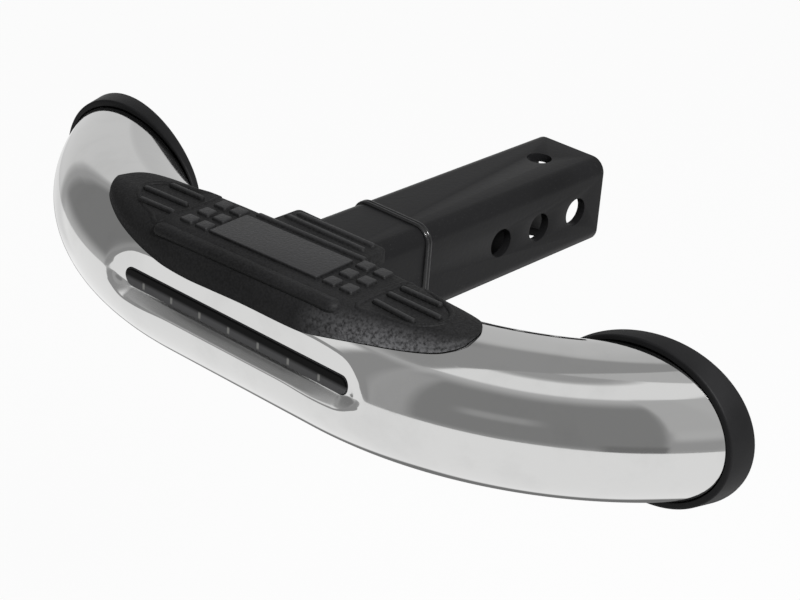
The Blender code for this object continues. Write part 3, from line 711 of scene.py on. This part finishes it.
# Step pad. Each row is x in mm with the turns in degrees of the front and the rear edge.
PAD_ROWS = (
    (-118.9, 24.0, 20.0), (-118.3, 28.8, 14.6), (-116.8, 32.8, 8.6), (-112.0, 36.6, -0.6),
    (-105.5, 40.0, -9.4), (-94.2, 44.7, -21.0), (-76.3, 50.0, -33.5), (-61.7, 53.6, -40.0),
    (-49.0, 56.1, -43.0), (-32.0, 57.0, -45.0), (-15.9, 56.2, -46.5), (5.0, 55.0, -47.8),
    (45.9, 53.9, -49.0), (57.5, 50.2, -48.1), (71.0, 45.9, -44.4), (82.0, 42.6, -38.8),
    (94.0, 39.6, -30.9), (102.0, 37.4, -24.8), (108.5, 35.2, -18.8), (113.5, 33.0, -13.3),
    (117.0, 30.4, -7.6), (120.0, 26.8, -0.8), (121.6, 23.6, 4.3), (122.5, 20.6, 9.8),
)
PAD_TURN = 0.055
PAD_SHIFT = (-0.0003, -0.0012)
PLATE = (-0.0360, -0.0124, 0.0360, 0.0159)
BLOCK_FOOT = 0.0044
BLOCK_TAPER = 0.0008
BLOCK_COLUMNS = (-0.0524, -0.0418, 0.0431, 0.0541)
BLOCK_ROWS = (-0.0083, 0.0040, 0.0164)
RIBS = (
    (0.0710, -0.0062, 0.0955, -0.0074, 0.0018), (0.0700, 0.0048, 0.1010, 0.0050, 0.0018),
    (0.0700, 0.0143, 0.0925, 0.0150, 0.0018), (-0.0890, 0.0092, -0.0685, 0.0102, 0.0018),
    (-0.0950, -0.0035, -0.0675, -0.0016, 0.0018), (-0.0860, -0.0146, -0.0650, -0.0130, 0.0018),
    (-0.0335, 0.0187, 0.0352, 0.0226, 0.0023), (-0.0240, 0.0293, 0.0270, 0.0304, 0.0023),
    (-0.0215, 0.0358, 0.0270, 0.0376, 0.0023),
)
RIGHT_FIELD = ((66, -13.5), (80, -13.2), (91, -11), (100, -6.5), (105, -0.5), (106, 6), (103, 12.5),
               (96, 17.5), (86, 21), (76, 23), (66, 24))
LEFT_FIELD = ((-64, -20), (-73, -19), (-84, -15.5), (-93, -10.5), (-99, -4), (-100, 2), (-96.5, 8),
              (-89, 13), (-78, 16), (-64, 18.5))
PAD_EDGE = 0.0012
PAD_BASE = 0.0024
PAD_BASE_Z = TUBE_Z + TUBE_R + PAD_BASE
PAD_ARC = 24
PAD_SIDE = 12
PAD_TOP_POINTS = 8
PAD_LIP = 0.0004
SHOULDER_FRONT = 0.0160
SHOULDER_REAR = 0.0080
TAB_LEFT = -0.0280
TAB_RIGHT = 0.0343
TAB_REACH = 0.0413
TAB_LOW = SQUARE / 2 - 0.0022
ROLL_LEFT = (-0.0590, -0.0246)
ROLL_RIGHT = (0.0570, -0.0215)
ROLL_R = 0.0046
ROLL_SINK = 0.016


def pad_edge_turn(x, column):
    """Turn of the pad's front (1) or rear (2) edge at x, on a smooth curve through the rows."""
    rows = PAD_ROWS
    far = x * 1000
    k = max(i for i in range(len(rows) - 1) if rows[i][0] <= far + 1e-6)

    def slope(i):
        before = rows[max(i - 1, 0)]
        after = rows[min(i + 1, len(rows) - 1)]
        return (after[column] - before[column]) / (after[0] - before[0])

    span = rows[k + 1][0] - rows[k][0]
    t = (far - rows[k][0]) / span
    y0 = rows[k][column]
    y1 = rows[k + 1][column]
    turn = (y0 + t * t * (3 - 2 * t) * (y1 - y0) + t * (1 - t) ** 2 * slope(k) * span
            + t * t * (t - 1) * slope(k + 1) * span)
    return math.radians(turn)


def shoulder_runs(front, rear):
    """How far the rounded front and rear sides of the pad reach in from its edges."""
    width = rear.y - front.y
    return min(SHOULDER_FRONT, width * 0.40), min(SHOULDER_REAR, width * 0.25)


def pad_section(x):
    """Closed section of the plain pad at x: under it the tube, then the front, the top and the rear."""
    first = pad_edge_turn(x, 2)
    last = pad_edge_turn(x, 1)
    points = [on_tube(x, first + (last - first) * i / PAD_ARC, TUBE_R + GAP) for i in range(PAD_ARC + 1)]
    front = points[-1]
    rear = points[0]
    reach = x * 1000 / PAD_ROWS[-1 if x > 0 else 0][0]
    base = PAD_BASE_Z - min(reach ** 12, 1.0) * (PAD_BASE - PAD_EDGE)
    front_run, rear_run = shoulder_runs(front, rear)
    points.append(front + Vector((0.0, -1.0, 0.6)).normalized() * PAD_LIP)
    low = front.z + PAD_EDGE
    for i in range(PAD_SIDE + 1):
        turn = math.pi / 2 * i / PAD_SIDE
        y = front.y + front_run * (1 - math.cos(turn))
        points.append(Vector((x, y, low + (base - low) * math.sin(turn))))
    y0 = front.y + front_run
    y1 = rear.y - rear_run
    for i in range(1, PAD_TOP_POINTS):
        points.append(Vector((x, y0 + (y1 - y0) * i / PAD_TOP_POINTS, base)))
    low = rear.z + PAD_EDGE
    for i in range(PAD_SIDE + 1):
        turn = math.pi / 2 * (1 - i / PAD_SIDE)
        y = rear.y - rear_run * (1 - math.cos(turn))
        points.append(Vector((x, y, low + (base - low) * math.sin(turn))))
    points.append(rear + Vector((0.0, 1.0, 0.6)).normalized() * PAD_LIP)
    return points


def pad_height(x, y):
    """Height of the pad's plain top; y is measured from the tube's middle line."""
    front = on_tube(x, pad_edge_turn(x, 1), TUBE_R + GAP)
    rear = on_tube(x, pad_edge_turn(x, 2), TUBE_R + GAP)
    front_run, rear_run = shoulder_runs(front, rear)
    place = TUBE_Y + y
    for edge, run, gone in ((front, front_run, place - front.y), (rear, rear_run, rear.y - place)):
        if gone < run:
            low = edge.z + PAD_EDGE
            return low + (PAD_BASE_Z - low) * math.sin(math.acos(1 - max(gone, 0.0) / run))
    return PAD_BASE_Z


def pad_marks():
    """Places along x of the pad's sections, closer together at both tips."""
    low = PAD_ROWS[0][0] / 1000
    high = PAD_ROWS[-1][0] / 1000
    marks = [low]
    while marks[-1] < high - 1e-6:
        near = min(marks[-1] - low, high - marks[-1])
        step = 0.0004 if near < 0.003 else 0.0011 if near < 0.014 else 0.0024
        marks.append(min(marks[-1] + step, high))
    return marks


def raised(name, low, high, taper, corner, soft):
    """Raised form of the pad: a tapered cube, its corners and top edges rounded, set askew like the pad."""
    piece = cube(name, (*low, PAD_BASE_Z - 0.0008), (*high, PAD_TOP))
    middle = (Vector(low) + Vector(high)) / 2
    for vert in piece.data.vertices:
        if vert.co.z > PAD_TOP - 1e-5:
            vert.co.x += math.copysign(taper, middle.x - vert.co.x)
            vert.co.y += math.copysign(taper, middle.y - vert.co.y)
    round_edges(piece, 2, corner, 4)
    round_outline(piece, faces_up, soft, 3)
    shift = Matrix.Translation((PAD_SHIFT[0], TUBE_Y + PAD_SHIFT[1], 0.0))
    piece.data.transform(shift @ Matrix.Rotation(PAD_TURN, 4, 'Z'))
    return piece


def roller(name, x0, y0, x1, y1, radius, top=PAD_TOP, flat=1.0):
    """Round-ended rib lying between two places on the pad, its top at the given height."""
    start = Vector((x0, TUBE_Y + y0, top - radius * flat))
    end = Vector((x1, TUBE_Y + y1, top - radius * flat))
    along = (end - start).normalized()
    aside = Vector((-along.y, along.x, 0.0))
    sides = 20
    turns = [math.pi / 2 * i / 7 for i in range(7)]
    rings = []
    for base, sign, order in ((start, -1, turns[::-1]), (end, 1, turns)):
        for turn in order:
            centre = base + along * (sign * radius * math.sin(turn))
            size = radius * math.cos(turn)
            rings.append([centre + aside * (size * math.cos(2 * math.pi * j / sides))
                          + Vector((0.0, 0.0, size * flat * math.sin(2 * math.pi * j / sides)))
                          for j in range(sides)])
    return lofted(name, rings, 60.0)


def field_tools(points, steps=5):
    """Sunk floor and soft low rim of one rib field, on a smooth closed path through the points."""
    count = len(points)
    path = []
    for i in range(count):
        p0, p1, p2, p3 = (Vector(points[(i + k - 1) % count]) / 1000 for k in range(4))
        for j in range(steps):
            t = j / steps
            path.append(0.5 * (2 * p1 + (p2 - p0) * t + (2 * p0 - 5 * p1 + 4 * p2 - p3) * t * t
                               + (3 * p1 - p0 - 3 * p2 + p3) * t ** 3))
    floor = [[(p.x, TUBE_Y + p.y, z) for p in path] for z in (PAD_BASE_Z - 0.0006, PAD_TOP + 0.004)]
    rim = [(p.x, TUBE_Y + p.y, pad_height(p.x, p.y) - 0.0013) for p in path]
    return lofted("field_floor", floor), rod_piece("field_rim", rim, 0.0018, 12, True)


def join(name, pieces):
    """Makes one mesh of the pieces."""
    activate(pieces[0])
    for other in pieces[1:]:
        other.select_set(True)
    bpy.ops.object.join()
    made = bpy.context.active_object
    made.name = name
    return made


def pad_piece():
    """Pad on the tube: its tab and front roll, the sunk rib fields, then plate, blocks and ribs."""
    pad = lofted("step_pad_moulding", [pad_section(x) for x in pad_marks()], 50.0)
    tab = cube("tab", (TAB_LEFT, TUBE_Y, TAB_LOW), (TAB_RIGHT, TUBE_Y + TAB_REACH, PAD_BASE_Z - 0.00005))
    round_edges(tab, 2, 0.003, 5)
    round_outline(tab, faces_up, 0.0012, 3)
    carve(tab, tube_drum(TUBE_R + GAP, 0.06))
    carve(pad, tab, 'UNION')
    carve(pad, square_block("square_space", GAP, TUBE_Y, TUBE_Y + 0.06))
    roll = roller("roll", *ROLL_LEFT, *ROLL_RIGHT, ROLL_R, PAD_BASE_Z + 0.0010, 0.75)
    for vert in roll.data.vertices:
        vert.co.z -= max(ROLL_RIGHT[0] - vert.co.x, 0.0) * ROLL_SINK
    carve(pad, roll, 'UNION')
    for points in (RIGHT_FIELD, LEFT_FIELD):
        floor, rim = field_tools(points)
        carve(pad, floor)
        carve(pad, rim, 'UNION')
    forms = [raised("plate", PLATE[:2], PLATE[2:], 0.0003, 0.0010, 0.0004)]
    for x in BLOCK_COLUMNS:
        for y in BLOCK_ROWS:
            forms.append(raised("block", (x - BLOCK_FOOT, y - BLOCK_FOOT), (x + BLOCK_FOOT, y + BLOCK_FOOT),
                                BLOCK_TAPER, 0.0012, 0.0006))
    forms += [roller("rib", *rib) for rib in RIBS]
    carve(pad, join("forms", forms), 'UNION')
    return smoothed(pad, 38)


# Square tube
def rounded_square(half, corner, steps):
    """Outline of the square tube as x and z, from the right side on over the top."""
    points = []
    for quarter in range(4):
        cx = (half - corner) * (1 if quarter in (0, 3) else -1)
        cz = (half - corner) * (1 if quarter in (0, 1) else -1)
        for i in range(steps + 1):
            turn = math.pi / 2 * (quarter + i / steps)
            points.append((cx + corner * math.cos(turn), cz + corner * math.sin(turn)))
    return points


def square_block(name, grow, start, end):
    """Solid bar of the square tube's outline: a cube whose long edges are rounded."""
    half = SQUARE / 2 + grow
    piece = cube(name, (-half, start, -half), (half, end, half))
    round_edges(piece, 1, SQUARE_CORNER + grow, 14)
    return piece


def square_tube_piece():
    """Hollow square tube with its bores, softened edges and the round cut that meets the step tube."""
    piece = square_block("square_tube", 0.0, TUBE_Y, OPEN_END_Y)
    edit(piece)
    pick(piece, lambda face: abs(face.normal.y) > 0.9)
    bpy.ops.mesh.inset(thickness=SQUARE_WALL)
    bpy.ops.mesh.delete(type='FACE')
    done()
    bm = bmesh.new()
    bm.from_mesh(piece.data)
    bmesh.ops.bridge_loops(bm, edges=[edge for edge in bm.edges if edge.is_boundary])
    bm.to_mesh(piece.data)
    bm.free()
    settled(piece, 30.0)
    reach = SQUARE / 2 + 0.004
    for row in (-1, 0, 1):
        carve(piece, cylinder("pin_bore", 'X', PIN_BORE / 2, -reach, reach, (0.0, row * PIN_PITCH, 0.0), 96))
    carve(piece, cylinder("top_bore", 'Z', TOP_BORE / 2, -reach, reach, (0.0, TOP_BORE_Y, 0.0), 80))
    apply_modifier(piece, 'BEVEL', width=0.0005, segments=3, limit_method='ANGLE',
                   angle_limit=math.radians(60), use_clamp_overlap=True)
    carve(piece, tube_drum(TUBE_R + GAP, 0.05))
    return smoothed(piece, 32)


def ring_piece():
    """Two round beads side by side, with the square tube's space left open."""
    grow = GAP - 0.0001
    outline = rounded_square(SQUARE / 2 + grow, SQUARE_CORNER + grow, 12)
    ring, other = (rod_piece("bead", [(x, y, z) for x, z in outline], BEAD_R, 16, True)
                   for y in (RING_Y + BEAD_R, RING_Y + RING_WIDTH - BEAD_R))
    carve(ring, other, 'UNION')
    carve(ring, square_block("inside", 0.0002, -0.12, -0.07))
    ring.name = "stop_ring_beads"
    return smoothed(ring, 60)


def weld_piece():
    """Rippled bead along both sides and the underside of the joint."""
    half = SQUARE / 2 + 0.0002
    top = SQUARE / 2 - 0.0130
    outline = rounded_square(half, SQUARE_CORNER, 10)
    lower = [(x, z) for x, z in outline if z < 0]
    rise = [lower[0][1] + (top - lower[0][1]) * i / 16 for i in range(1, 17)]
    path = [(-half, z) for z in reversed(rise)] + lower + [(half, z) for z in rise]
    dense = []
    for (x0, z0), (x1, z1) in zip(path, path[1:]):
        parts = max(1, round(math.hypot(x1 - x0, z1 - z0) / 0.0009))
        dense += [(x0 + (x1 - x0) * i / parts, z0 + (z1 - z0) * i / parts) for i in range(parts)]
    dense.append(path[-1])
    points = [(x, TUBE_Y + math.sqrt(TUBE_R ** 2 - (z - TUBE_Z) ** 2), z) for x, z in dense]
    weld = rod_piece("weld_ripples", points, WELD_R, 16)
    for vert in weld.data.vertices:
        place = vert.co
        along = place.z if abs(place.x) > half - 0.002 else place.x
        wave = math.sin(along / 0.0022 * 2 * math.pi) * 0.00018
        centre = Vector((max(-half, min(half, place.x)), place.y, place.z))
        centre.y = TUBE_Y + math.sqrt(max(TUBE_R ** 2 - (place.z - TUBE_Z) ** 2, 0.0))
        out = place - centre
        if out.length > 1e-6:
            vert.co = place + out.normalized() * wave
    carve(weld, square_block("inside", 0.0002, TUBE_Y, -0.09))
    carve(weld, tube_drum(TUBE_R + 0.0001, 0.06))
    return smoothed(weld, 50)


# Light
def gasket_piece():
    """Rubber ring that lines the slot."""
    face = LIGHT_FACE_Y
    piece = obround_block("light_gasket_ring", -GAP, face - 0.0004, face + 0.0030)
    round_outline(piece, lambda side: side.normal.y < -0.9, 0.0005, 4)
    carve(piece, obround_block("inner", -GAP - 0.0012, face - 0.01, face + 0.01))
    return smoothed(piece, 40)


def lens_piece():
    """Lens that fills the gasket, with a rounded rim in front and a hollow behind."""
    face = LIGHT_FACE_Y
    piece = obround_block("light_lens_front", -SEAT, face - 0.0007, face + 0.0040)
    carve(piece, obround_block("rim", -SEAT + 0.0011, face - 0.0013, face - 0.0005), 'UNION')
    round_outline(piece, lambda side: side.normal.y < -0.9 and side.calc_center_median().y < face - 0.0012,
                  0.0005, 4)
    carve(piece, obround_block("hollow", -SEAT - 0.0010, face + 0.0003, face + 0.02))
    return smoothed(piece, 40)


# Settings
def colour_setting(name, description, default):
    """Colour property with its usual range."""
    return FloatVectorProperty(name=name, description=description, subtype='COLOR', size=3, min=0.0, max=1.0,
                               default=default)


class HitchStepLook(bpy.types.PropertyGroup):
    """Colours and finishes of the pieces."""
    steel_colour: colour_setting("Steel", "Colour of the polished tube", (0.66, 0.66, 0.655))
    steel_roughness: FloatProperty(name="Steel roughness", description="Haze of the polish", min=0.0, max=1.0,
                                   default=0.055)
    cap_colour: colour_setting("Caps", "Colour of the moulded caps", (0.006, 0.006, 0.0063))
    pad_colour: colour_setting("Pad", "Colour of the rubber pad", (0.0085, 0.0085, 0.0088))
    coat_colour: colour_setting("Powder coat", "Colour of the square tube", (0.0055, 0.0055, 0.0058))
    # The lens colour is its smoked tint and also the level of the painted reflection on the lens's lower
    # half.
    lens_tint_and_reflection: colour_setting("Lens", "Tint of the smoked lens", (0.085, 0.085, 0.087))
    lamp_glow: FloatProperty(name="Lamp glow", description="Light of the lamp bodies", min=0.0, max=5.0,
                             default=0.6)
    cap_edge: FloatProperty(name="Cap edge", description="Rounding of the caps' lips", subtype='DISTANCE',
                            unit='LENGTH', min=0.0002, max=0.002, default=0.0012)


class HitchStepStudio(bpy.types.PropertyGroup):
    """Height of the floor and power of the lamps."""
    floor_z: FloatProperty(name="Floor", description="Height of the studio floor", subtype='DISTANCE',
                           unit='LENGTH', default=-0.42)
    key_power: FloatProperty(name="Key light", description="Power of the soft key light at the right",
                             unit='POWER', min=0.0, max=500.0, default=26.0)
    accent_power: FloatProperty(name="Accent light", unit='POWER', min=0.0, max=100.0, default=16.0,
                                description="Power of the small lamp on the black pieces")


# Operators
class HITCHSTEP_OT_stage(bpy.types.Operator):
    """Sets the camera, the floor, the mirrored studio and the lights."""
    bl_idname = "hitchstep.stage"
    bl_label = "Stage and camera"

    def execute(self, context):
        studio = context.scene.hitch_step_studio
        aim_camera()
        build_floor(studio)
        build_surroundings()
        build_lights(studio)
        context.scene.view_settings.view_transform = 'Standard'
        return {'FINISHED'}


class HITCHSTEP_OT_step_tube(bpy.types.Operator):
    """Makes the polished tube with its pressed light pocket."""
    bl_idname = "hitchstep.step_tube"
    bl_label = "Step tube"

    def execute(self, context):
        steel = polished_steel(context.scene.hitch_step_look)
        put(step_tube_piece(), steel, "step_tube")
        return {'FINISHED'}


class HITCHSTEP_OT_end_caps(bpy.types.Operator):
    """Makes both moulded end caps."""
    bl_idname = "hitchstep.end_caps"
    bl_label = "End caps"

    def execute(self, context):
        look = context.scene.hitch_step_look
        mat = cap_plastic(look)
        put(cap_piece("end_cap_left_moulding", -1, look.cap_edge), mat, "end_cap_left")
        put(cap_piece("end_cap_right_moulding", 1, look.cap_edge), mat, "end_cap_right")
        return {'FINISHED'}


class HITCHSTEP_OT_step_pad(bpy.types.Operator):
    """Makes the moulded pad with its plate, blocks, ribs and tab."""
    bl_idname = "hitchstep.step_pad"
    bl_label = "Step pad"

    def execute(self, context):
        put(pad_piece(), pad_rubber(context.scene.hitch_step_look), "step_pad")
        return {'FINISHED'}


class HITCHSTEP_OT_square_tube(bpy.types.Operator):
    """Makes the square tube with its holes, the double bead and the weld."""
    bl_idname = "hitchstep.square_tube"
    bl_label = "Square tube"

    def execute(self, context):
        look = context.scene.hitch_step_look
        put(square_tube_piece(), powder_coat(look), "receiver_tube")
        put(ring_piece(), powder_coat(look, "gloss_black_look", 0.14), "stop_ring")
        put(weld_piece(), weld_steel(look), "weld_bead")
        return {'FINISHED'}


class HITCHSTEP_OT_light(bpy.types.Operator):
    """Makes the light's gasket and lens and finishes its lamps, board and housing."""
    bl_idname = "hitchstep.light"
    bl_label = "Step light"

    def execute(self, context):
        look = context.scene.hitch_step_look
        rubber = gasket_rubber()
        put(gasket_piece(), rubber, "light_gasket")
        put(lens_piece(), smoked_lens(look), "light_lens")
        lamp = lamp_material(look)
        for i in range(7):
            paint("led_%d" % (i + 1), lamp)
        paint("led_board", circuit_board())
        paint("light_housing", cap_plastic(look))
        paint("cable_grommet", rubber)
        return {'FINISHED'}


class HITCHSTEP_OT_clips(bpy.types.Operator):
    """Finishes the push clips under the pad."""
    bl_idname = "hitchstep.clips"
    bl_label = "Pad clips"

    def execute(self, context):
        mat = clip_plastic()
        for i in range(4):
            paint("pad_clip_%d" % (i + 1), mat)
        return {'FINISHED'}


class HITCHSTEP_OT_accent(bpy.types.Operator):
    """Adds the small lamp that lights only the black pieces' edges."""
    bl_idname = "hitchstep.accent"
    bl_label = "Accent light"

    def execute(self, context):
        dark = bpy.data.collections.new("black_pieces")
        for name in ("step_pad_moulding", "square_tube", "stop_ring_beads", "end_cap_left_moulding",
                     "end_cap_right_moulding"):
            dark.objects.link(bpy.data.objects[name])
        lamp = area_lamp("accent", 78.0, 44.0, 1.2, 0.14, context.scene.hitch_step_studio.accent_power)
        lamp.light_linking.receiver_collection = dark
        return {'FINISHED'}


class HITCHSTEP_PT_panel(bpy.types.Panel):
    """Lists the pieces of the hitch step."""
    bl_idname = "HITCHSTEP_PT_panel"
    bl_label = "Hitch step"
    bl_space_type = 'VIEW_3D'
    bl_region_type = 'UI'
    bl_category = "Hitch step"

    def draw(self, context):
        for operator in OPERATORS:
            self.layout.operator(operator.bl_idname)
        for group in (context.scene.hitch_step_look, context.scene.hitch_step_studio):
            for name in group.__annotations__:
                self.layout.prop(group, name)


OPERATORS = (HITCHSTEP_OT_stage, HITCHSTEP_OT_step_tube, HITCHSTEP_OT_end_caps, HITCHSTEP_OT_step_pad,
             HITCHSTEP_OT_square_tube, HITCHSTEP_OT_light, HITCHSTEP_OT_clips, HITCHSTEP_OT_accent)
CLASSES = (HitchStepLook, HitchStepStudio, *OPERATORS, HITCHSTEP_PT_panel)


def paint(node, mat):
    """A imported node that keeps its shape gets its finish."""
    made = NODES[node]
    if not made.material_slots:
        made.data.materials.append(mat)
    for slot in made.material_slots:
        slot.material = mat


# Camera, room and lamps
CAMERA_PLACE = Vector((0.6937, -0.8881, 0.5030))
CAMERA_AZIMUTH = math.radians(40.71)
CAMERA_ELEVATION = math.radians(26.54)
CAMERA_ROLL = math.radians(4.50)
CAMERA_LENS = 99.97
CAMERA_SENSOR = 36.0
CENTRE = Vector((0.0, TUBE_Y, TUBE_Z))


def aim_camera():
    az, el, roll = CAMERA_AZIMUTH, CAMERA_ELEVATION, CAMERA_ROLL
    forward = Vector((-math.sin(az) * math.cos(el), math.cos(az) * math.cos(el), -math.sin(el)))
    right = forward.cross(Vector((0, 0, 1))).normalized()
    up = right.cross(forward)
    turned_right = right * math.cos(roll) + up * math.sin(roll)
    turned_up = up * math.cos(roll) - right * math.sin(roll)
    data = bpy.data.cameras.new("photo_camera")
    data.lens = CAMERA_LENS
    data.sensor_width = CAMERA_SENSOR
    data.clip_start = 0.05
    data.clip_end = 50
    camera = bpy.data.objects.new("photo_camera", data)
    bpy.context.scene.collection.objects.link(camera)
    turn = Matrix((turned_right, turned_up, -forward)).transposed()
    camera.matrix_world = Matrix.Translation(CAMERA_PLACE) @ turn.to_4x4()
    bpy.context.scene.camera = camera


def direction(azimuth, elevation):
    """Unit direction; azimuth from the front (-Y) toward +X, both in degrees."""
    a = math.radians(azimuth)
    e = math.radians(elevation)
    return Vector((math.sin(a) * math.cos(e), -math.cos(a) * math.cos(e), math.sin(e)))


def background_ray(sh):
    """1 for rays that should meet the plain white background: camera, mirror and clear ones."""
    camera, mirror, clear = (sh.node('ShaderNodeLightPath', {}, [], name)
                             for name in ("Is Camera Ray", "Is Glossy Ray", "Is Transmission Ray"))
    return camera.maths('MAXIMUM', mirror).maths('MAXIMUM', clear)


def build_floor(studio):
    """Wide pale floor whose shine hides where it ends."""
    deselect()
    bpy.ops.mesh.primitive_grid_add(x_subdivisions=8, y_subdivisions=8, size=14.0,
                                    location=(0.0, 0.0, studio.floor_z))
    floor = placed("studio_floor")
    sh = Shader("studio_floor")
    sh.finish(colour=with_alpha((0.85, 0.85, 0.85)), rough=0.8)
    lit = Socket(sh, sh.surface.outputs[0])
    plain = sh.node('ShaderNodeEmission', {}, [])
    shown = sh.node('ShaderNodeMixShader', {}, [background_ray(sh) * 0.92, lit, plain])
    floor.data.materials.append(sh.show(shown))
    floor.visible_glossy = False


# Areas of the room the tube mirrors: azimuths, elevations, brightness, softness of the two kinds of edge.
ROOM = (
    (-190, -15, 55, 95, 0.36, 6, 8), (-15, 127, 57, 77, 0.95, 3, 3), (-15, 127, 79, 95, 0.42, 6, 5),
    (-190, -147, -15, 55, 0.60, 4, 8), (-150, -136, -15, 50, 0.64, 4, 10), (-136, -100, -15, 45, 0.75, 5, 14),
    (-100, -95, -15, 45, 0.42, 5, 10), (-95, -60, -8, 35, 0.25, 5, 12), (-60, -14, -15, 50, 0.35, 8, 10),
    (-130, -58, 40, 62, 0.25, 8, 6), (-50, -33, 26, 46, 0.95, 6, 5), (-10, 67, -15, 50, 0.27, 5, 14),
    (-15, -2, -15, 48, 0.43, 5, 10),
    (12, 32, 11, 19, 0.38, 8, 5), (50, 67, -15, -6, 0.21, 1.5, 1.5), (67, 82, 14, 56, 0.54, 1, 10),
    (67, 82, -15, 2, 0.40, 1, 10),
    (-190, 190, -95, -14.8, 1.0, 1, 0.6), (-142, -98, -26, -14.8, 0.84, 8, 1),
    (-170, -122, -62, -23, 0.20, 8, 5),
)


def edge_window(values, low, high, soft):
    """1 between low and high, 0 outside, with soft edges."""
    half = soft / 2
    return smoothstep(low - half, low + half, values) * (1 - smoothstep(high - half, high + half, values))


def build_room():
    """Dome round the part whose brightness the tube mirrors; the camera looks through it."""
    azimuths = np.concatenate([np.arange(-180, 64, 2.0), np.arange(64, 70, 0.5), np.arange(70, 180, 2.0)])
    elevations = np.concatenate([np.arange(-90, -20, 5.0), np.arange(-20, -10, 0.5), np.arange(-10, 50, 2.0),
                                 np.arange(50, 60, 1.0), np.arange(60, 90.1, 3.0)])
    grid_az, grid_el = np.meshgrid(azimuths, elevations, indexing='ij')
    bright = np.full(grid_az.shape, 0.57)
    for az0, az1, el0, el1, level, soft_az, soft_el in ROOM:
        weight = edge_window(grid_az, az0, az1, soft_az) * edge_window(grid_el, el0, el1, soft_el)
        bright = bright * (1 - weight) + level * weight
    verts = [CENTRE + direction(azimuth, elevation) * 6.0 for azimuth in azimuths for elevation in elevations]
    rows = len(elevations)
    faces = grid_faces(len(azimuths), rows, False)
    last = (len(azimuths) - 1) * rows
    faces += [(last + j, last + j + 1, j + 1, j) for j in range(rows - 1)]
    mesh = bpy.data.meshes.new("studio_room")
    mesh.from_pydata(verts, [], faces)
    layer = mesh.color_attributes.new("bright", 'FLOAT_COLOR', 'POINT')
    for item, level in zip(layer.data, bright.ravel()):
        item.color = (level, level, level, 1.0)
    room = bpy.data.objects.new("studio_room", mesh)
    bpy.context.scene.collection.objects.link(room)
    sh = Shader("studio_room")
    read = sh.node('ShaderNodeVertexColor', {"layer_name": "bright"}, [])
    mat = sh.show(sh.node('ShaderNodeEmission', {}, [read]))
    mat.cycles.emission_sampling = 'NONE'
    mesh.materials.append(mat)
    room.visible_camera = False


def build_surroundings():
    world = bpy.data.worlds.new("studio")
    world.use_nodes = True
    back = world.node_tree.nodes["Background"]
    back.inputs[0].default_value = (1.0, 1.0, 1.0, 1.0)
    back.inputs[1].default_value = 1.0
    bpy.context.scene.world = world
    build_room()


def area_lamp(name, azimuth, elevation, distance, size, power):
    data = bpy.data.lights.new(name, 'AREA')
    data.shape = 'RECTANGLE'
    data.size = size
    data.size_y = size * 0.7
    data.energy = power
    lamp = bpy.data.objects.new(name, data)
    bpy.context.scene.collection.objects.link(lamp)
    lamp.location = CENTRE + direction(azimuth, elevation) * distance
    lamp.rotation_euler = (CENTRE - lamp.location).to_track_quat('-Z', 'Y').to_euler()
    lamp.visible_camera = False
    return lamp


def build_lights(studio):
    """Soft lamps that the polished tube doesn't mirror."""
    area_lamp("key", 82.0, 38.0, 1.8, 1.0, studio.key_power).visible_glossy = False
    area_lamp("fill", 20.0, 62.0, 2.0, 1.6, studio.key_power * 0.25).visible_glossy = False


def register():
    for made in CLASSES:
        bpy.utils.register_class(made)
    bpy.types.Scene.hitch_step_look = PointerProperty(type=HitchStepLook)
    bpy.types.Scene.hitch_step_studio = PointerProperty(type=HitchStepStudio)


def unregister():
    del bpy.types.Scene.hitch_step_look
    del bpy.types.Scene.hitch_step_studio
    for made in reversed(CLASSES):
        bpy.utils.unregister_class(made)


def main():
    register()
    for operator in OPERATORS:
        name = operator.bl_idname.split(".")[1]
        if getattr(bpy.ops.hitchstep, name)() != {'FINISHED'}:
            raise RuntimeError("hitchstep.%s did not finish" % name)


if __name__ == "__main__":
    main()
